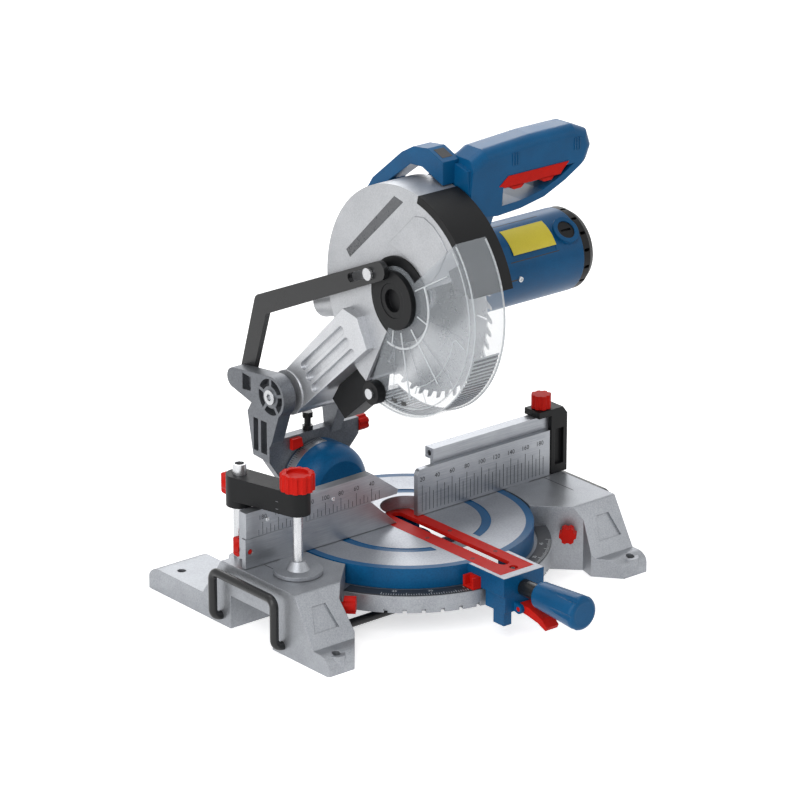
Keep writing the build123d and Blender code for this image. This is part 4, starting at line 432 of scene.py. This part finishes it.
def fence_scale(name, body, first, direction, zero_x, foot, tops, figure_z):
    """Ticks and figures on a fence's front; direction is 1 where readings grow to the right."""
    piece = Piece(name, body, ink, "dark_scale")
    for reading in range(first, SCALE_END, TICK_STEP):
        top = tick_size(reading, FENCE_STEPS, tops)
        centre = (zero_x + direction * reading, 0, (top + foot) / 2)
        piece.prism(bar(FENCE_TICK_W, top - foot), place(centre, RIGHT, FRONT), PRINT)
    first_figure = first + -first % FIGURE_STEP
    for reading in range(first_figure, SCALE_END, FIGURE_STEP):
        centre = (zero_x + direction * reading, 0, figure_z)
        piece.text(str(reading), place(centre, RIGHT, FRONT), FENCE_FIGURE)
    piece.done(FLAT)


fence_scale("left_fence_scale", "left_fence", first=30, direction=-1, zero_x=-7,
            foot=103, tops=(116.5, 112.0, 109.0), figure_z=121.5)
fence_scale("right_fence_scale", "base", first=20, direction=1, zero_x=0,
            foot=74, tops=(103.0, 99.0, 94.0), figure_z=109.5)

RIVET_Z = 117.5
rivets = Piece("left_fence_rivets", "left_fence", bright, "bright_steel")
for x in (-97, -181):
    rivets.screw(place((x, 0, RIVET_Z), RIGHT, FRONT), radius=2.4, height=0.9)
rivets.done()

# Mitre scale

MITRE_END = 50
MITRE_STEPS = (10, 5)
MITRE_TICKS = (5.5, 4.2, 3.0)
MITRE_TICK_W = 0.45
MITRE_TICK_OUT = 147.3
MITRE_FIGURE_R = 138
MITRE_FIGURE = 5.5


def outward(angle):
    """Level direction at an angle from the front, positive to the right."""
    turn = radians(angle - 90)
    return Vector((cos(turn), sin(turn), 0))


ring_centre = Vector((0, 0, RING_TOP))
marks = Piece("mitre_scale_marks", "base", chalk, "dark_scale")
for angle in range(-MITRE_END, MITRE_END + 1):
    length = tick_size(angle, MITRE_STEPS, MITRE_TICKS)
    out = outward(angle)
    centre = out * (MITRE_TICK_OUT - length / 2) + ring_centre
    marks.prism(bar(length, MITRE_TICK_W), place(centre, out, UP), PRINT)
for angle in range(-45, 46, 15):
    out = outward(angle)
    along = (-out.y, out.x, 0)
    marks.text(str(abs(angle)), place(out * MITRE_FIGURE_R + ring_centre, along, UP), MITRE_FIGURE)
marks.done(FLAT)

# Tilt scale: bright strip bent over the dome's rear rim, with its ticks

STRIP_FROM = 84
STRIP_TO = 176
STRIP_STEP = 2
STRIP_R = DOME_R + 0.5
STRIP_FRONT = DOME_REAR - 13
STRIP_REAR = DOME_REAR - 1
STRIP_WALL = 0.8
STRIP_MERGE = 0.001
TILT_FIRST = STRIP_FROM + 4
TILT_STEP = 3
TILT_LONG_STEP = 15
TILT_TICKS = (7, 4)
TILT_TICK_REAR = DOME_REAR - 1.5
TILT_LIFT = 0.02


def over_dome(angle, y):
    """Point of the strip at an angle round the dome's axis along Y."""
    return Vector((STRIP_R * cos(radians(angle)), y, TABLE_Z + STRIP_R * sin(radians(angle))))


strip = Piece("tilt_scale_strip", "turntable", machined, "cast_aluminium")
for angle in range(STRIP_FROM, STRIP_TO, STRIP_STEP):
    after = angle + STRIP_STEP
    corners = (over_dome(angle, STRIP_FRONT), over_dome(angle, STRIP_REAR),
               over_dome(after, STRIP_REAR), over_dome(after, STRIP_FRONT))
    strip.bm.faces.new([strip.bm.verts.new(corner) for corner in corners])
bmesh.ops.remove_doubles(strip.bm, verts=strip.bm.verts, dist=STRIP_MERGE)
bmesh.ops.solidify(strip.bm, geom=list(strip.bm.faces), thickness=STRIP_WALL)
strip.done(30)

tilt_marks = Piece("tilt_scale_marks", "turntable", ink, "dark_scale")
for angle in range(TILT_FIRST, STRIP_TO - 2, TILT_STEP):
    length = tick_size(angle - TILT_FIRST, (TILT_LONG_STEP,), TILT_TICKS)
    out = Vector((cos(radians(angle)), 0, sin(radians(angle))))
    centre = out * (STRIP_R + TILT_LIFT) + Vector((0, TILT_TICK_REAR - length / 2, TABLE_Z))
    tilt_marks.prism(bar(0.5, length), place(centre, (-out.z, 0, out.x), out), 0.12)
tilt_marks.done(FLAT)

# Lower guard: rim edges, a hoop round the hub and moulded lines on its left face, drawn near-white as painted
# highlights

SPOKE_X = -32.4
SPOKE_NEAR = 34
SPOKES = ((228, 96), (258, 104), (150, 90), (278, 50), (196, 50))
LINE_X = -32.5

edges = Piece("guard_edges", "lower_guard", clear_rib_highlight, "clear_plastic")
edges.hoop(HUB, inner=119.6, outer=120.6, left=-32.4, right=-31.2, start=139, stop=291)
edges.hoop(HUB, inner=120.4, outer=122.0, left=4.8, right=6.0, start=139, stop=291)
edges.hoop(HUB, inner=111.6, outer=112.6, left=-32.8, right=-32.0, start=140, stop=278)
edges.hoop(HUB, inner=49.0, outer=51.2, left=-33.2, right=-32.0, start=150, stop=286)
for angle, far in SPOKES:
    edges.wire([around(HUB, SPOKE_NEAR, angle, SPOKE_X), around(HUB, far, angle, SPOKE_X)], radius=0.8)
line_start = [around(HUB, 108, 193, LINE_X), around(HUB, 94, 191, LINE_X)]
line_bend = [around(HUB, 90, angle, LINE_X) for angle in range(193, 250, 4)]
line_end = [around(HUB, 96, 252, LINE_X)]
edges.wire(line_start + line_bend + line_end, radius=0.6)
edges.done(50)

# Lower guard: cross bars in turn along the rim, the light ones painted highlights and the dark ones painted
# shade, and two dark marks on its face

RIM_BARS = 38
RIM_BAR_FROM = 196
RIM_BAR_PITCH = 2.45
RIM_BAR_IN = 118.7

highlight_rib_bars = Piece("guard_highlight_ribs", "lower_guard", clear_rib_highlight, "clear_plastic")
shade_rib_bars = Piece("guard_shade_ribs", "lower_guard", shade_and_marks, "clear_plastic")
# Each light bar is a painted highlight and the dark bar beside it is painted shade
for k in range(RIM_BARS):
    angle = RIM_BAR_FROM + RIM_BAR_PITCH * k
    highlight_rib_bars.hoop(HUB, RIM_BAR_IN, outer=119.5, left=-28.5, right=4.5,
                    start=angle, stop=angle + 0.9, step=1)
    shade_rib_bars.hoop(HUB, RIM_BAR_IN, outer=119.4, left=-27.0, right=3.5,
                   start=angle + 1.0, stop=angle + 2.2, step=1)
for angle in (262, 270):
    shade_rib_bars.hoop(HUB, inner=106, outer=110, left=-32.5, right=-32.0, start=angle, stop=angle + 4, step=2)
highlight_rib_bars.done(FLAT)
shade_rib_bars.done(FLAT)

# Upper guard: raised panel, painted stripe and the grey window of the front cover

PANEL_YZ = ((-4, 376), (-44, 414), (-58, 416), (-72, 411), (-84, 402), (-94, 390), (-82, 366), (-70, 352),
            (-56, 360))
STRIPE_YZ = ((64, 352), (58, 345), (-26, 424), (-12, 427))
left_face = place((UPPER_GUARD_LEFT, 0, 0), REAR, LEFT)


def on_left_face(points):
    """Outline in the left face's frame, whose Y points down, from points in Y and Z."""
    return [(y, -z) for y, z in reversed(points)]


panel = Piece("guard_panel", "head", guard_metal, "cast_aluminium")
panel.prism(on_left_face(PANEL_YZ), left_face, 0.9)
panel.done()
stripe = Piece("guard_stripe", "head", window, "dark_scale")
stripe.prism(on_left_face(STRIPE_YZ), left_face, 0.15)
stripe.done(FLAT)
pane = Piece("cover_window", "head", window, "black_plastic")
pane.hoop(HUB, inner=90, outer=112, left=-28.7, right=-28.3, start=147, stop=163)
pane.done(FLAT)

# Motor: bare yellow plate, seams and screws

SEAM_IN = 43.8
SEAM_OUT = 44.12

plate = Piece("motor_plate", "head", yellow, "blue_plastic")
plate.hoop(MOTOR_AXIS, inner=43.9, outer=44.5, left=118, right=175, start=110, stop=150)
plate.done(30)
seams = Piece("motor_seams", "head", ink, "black_plastic")
for angle in (96, 158):
    seams.hoop(MOTOR_AXIS, SEAM_IN, SEAM_OUT, left=112, right=177, start=angle, stop=angle + 1.2, step=1)
seams.hoop(MOTOR_AXIS, SEAM_IN, SEAM_OUT, left=104, right=118, start=182, stop=184, step=1)
seams.done(FLAT)
motor_screws = Piece("motor_screws", "head", bright, "bright_steel")
for x, angle in ((122, 183), (66, 183), (66, 120)):
    out = (0, cos(radians(angle)), sin(radians(angle)))
    motor_screws.screw(place(around(MOTOR_AXIS, MOTOR_R, angle, x), RIGHT, out), radius=3.2)
motor_screws.done()

# Main handle: grip ridges, and the red fronts of the trigger and its tabs

RIDGES = 3
RIDGE_PITCH = 3.4
HANDLE_FRONT = -68
RIDGE_Z = 457
TAB_BACK = -57.6
TAB_DEPTH = 10.6
TAB_LOW = 425.6
TAB_HIGH = 432
TAB_SLOPE = 7
TRIGGER_SKIN_XZ = ((62, 432), (72, 430), (142, 430), (154, 441), (74, 441))
TRIGGER_SKIN_Y = -68.1

ridges = Piece("handle_ridges", "head", blue, "blue_plastic")
for start in (80, 162):
    for k in range(RIDGES):
        spot = (start + RIDGE_PITCH * k, HANDLE_FRONT, RIDGE_Z)
        ridges.prism(bar(1.4, 13), place(spot, RIGHT, FRONT), 0.6)
ridges.done(30)


def red_front(body, left, right, low, high, slope):
    """Front of the trigger or a tab, level with the handle's front and narrower at its foot."""
    face = Piece(body + "_face", body, red, "red_plastic")
    outline = [(left, high), (left + slope, low), (right - slope, low), (right, high)]
    face.prism(outline, place((0, TAB_BACK, 0), RIGHT, FRONT), TAB_DEPTH)
    return face


trigger_face = red_front("trigger", left=66, right=146, low=429.2, high=432.6, slope=3)
trigger_face.prism(TRIGGER_SKIN_XZ, place((0, TRIGGER_SKIN_Y, 0), RIGHT, FRONT), 0.9)
trigger_face.done(30)
red_front("left_lock_off", 74, 98, TAB_LOW, TAB_HIGH, TAB_SLOPE).done(30)
red_front("right_lock_off", 114, 138, TAB_LOW, TAB_HIGH, TAB_SLOPE).done(30)

# Carrying handle: a flat dark patch on its sloping front, painted shade for the recess there

RECESS_SPOT = (20, -31, 466.9)
RECESS_OUT = (0, -0.351, 0.936)
recess = Piece("carry_recess_shade", "head", ink, "black_plastic")
recess.prism(bar(13, 15), place(RECESS_SPOT, RIGHT, RECESS_OUT), 0.2)
recess.done(FLAT)

# Clamp arm: two grooves along its side

CLAMP_MIDDLE = (-181.2, -2)
CLAMP_ALONG = Vector((0.239, -0.971, 0))
CLAMP_SIDE = Vector((-0.971, -0.239, 0))
grooves = Piece("clamp_grooves", "clamp_arm", window, "black_plastic")
for z in (138.5, 146.5):
    spot = Vector((*CLAMP_MIDDLE, z)) + CLAMP_SIDE * CLAMP_HALF
    grooves.prism(bar(46, 1.0), place(spot, CLAMP_ALONG, CLAMP_SIDE), 0.2)
grooves.done(FLAT)

# Wings and insert: lines on the wings' tops and the insert's screws

LINE_Y = -24
INSERT_SCREWS_XY = ((-15, -121), (15, -121), (-15, -50), (15, -50), (0, -165))
INSERT_SCREW_Z = TABLE_Z - 0.6
lines = Piece("wing_lines", "base", ink, "dark_scale")
for x in (-186, 186):
    lines.prism(bar(0.9, 46), place((x, LINE_Y, TABLE_Z), RIGHT, UP), 0.06)
lines.done(FLAT)
insert_screws = Piece("insert_screws", "turntable", ink, "dark_scale")
for x, y in INSERT_SCREWS_XY:
    insert_screws.screw(place((x, y, INSERT_SCREW_Z), RIGHT, UP), radius=2.3, height=0.8)
insert_screws.done()

# Camera at the photograph's viewpoint, in degrees and metres

AZIMUTH = radians(-39.58)
ELEVATION = radians(20.55)
DISTANCE = 4.49329
TARGET = Vector((-0.00961, 0.0, 0.20348))
camera = bpy.data.cameras.new("camera")
camera.sensor_width = 36.0
camera.lens = 199.64
camera.clip_end = 50.0
camera_object = bpy.data.objects.new("camera", camera)
back = Vector((sin(AZIMUTH) * cos(ELEVATION), -cos(AZIMUTH) * cos(ELEVATION), sin(ELEVATION)))
camera_object.location = TARGET + back * DISTANCE
camera_object.rotation_mode = "QUATERNION"
camera_object.rotation_quaternion = (-back).to_track_quat("-Z", "Y")
bpy.context.scene.collection.objects.link(camera_object)
bpy.context.scene.camera = camera_object

# Light and floor, in metres and watts: the world is white where it is seen and dimmer as a light

WHITE = (1.0, 1.0, 1.0, 1.0)
ROOM_LIGHT = 0.27
FLOOR_GLOW = 0.6
FLOOR_HALF = 12.0
FLOOR_CELLS = 8


def seen_directly(tree):
    """Socket that is 1 for camera, glossy and transmission rays."""
    path = node(tree, "ShaderNodeLightPath")
    found = path.outputs["Is Camera Ray"]
    for kind in ("Is Glossy Ray", "Is Transmission Ray"):
        either = node(tree, "ShaderNodeMath", operation="MAXIMUM")
        tree.links.new(found, either.inputs[0])
        tree.links.new(path.outputs[kind], either.inputs[1])
        found = either.outputs[0]
    return found


def lamp(name, spot, aim, size, power):
    """Rectangular lamp at a spot, turned to the point it aims at."""
    light = bpy.data.lights.new(name, "AREA")
    light.shape = "RECTANGLE"
    light.size, light.size_y = size
    light.energy = power
    holder = bpy.data.objects.new(name, light)
    holder.location = spot
    holder.rotation_mode = "QUATERNION"
    holder.rotation_quaternion = (Vector(aim) - Vector(spot)).to_track_quat("-Z", "Y")
    bpy.context.scene.collection.objects.link(holder)


world = bpy.data.worlds.new("studio")
bpy.context.scene.world = world
world.use_nodes = True
world_tree = world.node_tree
background = world_tree.nodes["Background"]
strength = node(world_tree, "ShaderNodeMapRange", To_Min=ROOM_LIGHT, To_Max=1.0)
world_tree.links.new(seen_directly(world_tree), strength.inputs["Value"])
world_tree.links.new(strength.outputs["Result"], background.inputs["Strength"])
background.inputs["Color"].default_value = WHITE

lamp("key", (-1.7, -1.3, 1.9), aim=(0, 0, 0.2), size=(1.4, 1.4), power=23)
lamp("fill", (1.5, -1.9, 1.2), aim=(0, 0, 0.2), size=(1.6, 1.2), power=4)
lamp("top", (0.2, 0.4, 2.2), aim=(0, 0, 0.2), size=(1.6, 1.2), power=13)
lamp("side", (-2.3, -0.5, 0.8), aim=(0, 0, 0.25), size=(1.2, 1.2), power=14)
lamp("rim", (1.2, 1.8, 1.4), aim=(0, 0, 0.25), size=(1.2, 1.2), power=12)

paper = Finish("floor", rgb(252, 252, 252), rgb(249, 249, 249), rough=0.9, grain=60, bump=0.0, edge=0.1,
               spread=0.02)
paper.shader.inputs["Emission Color"].default_value = WHITE
glow = paper.math("MULTIPLY", seen_directly(paper.tree), FLOOR_GLOW)
paper.tree.links.new(glow, paper.shader.inputs["Emission Strength"])
floor_bm = bmesh.new()
bmesh.ops.create_grid(floor_bm, x_segments=FLOOR_CELLS, y_segments=FLOOR_CELLS, size=FLOOR_HALF)
floor_mesh = bpy.data.meshes.new("floor")
floor_bm.to_mesh(floor_mesh)
floor_bm.free()
floor_mesh.materials.append(paper.mat)
floor = bpy.data.objects.new("floor", floor_mesh)
bpy.context.scene.collection.objects.link(floor)

bpy.context.scene.view_settings.view_transform = "Standard"
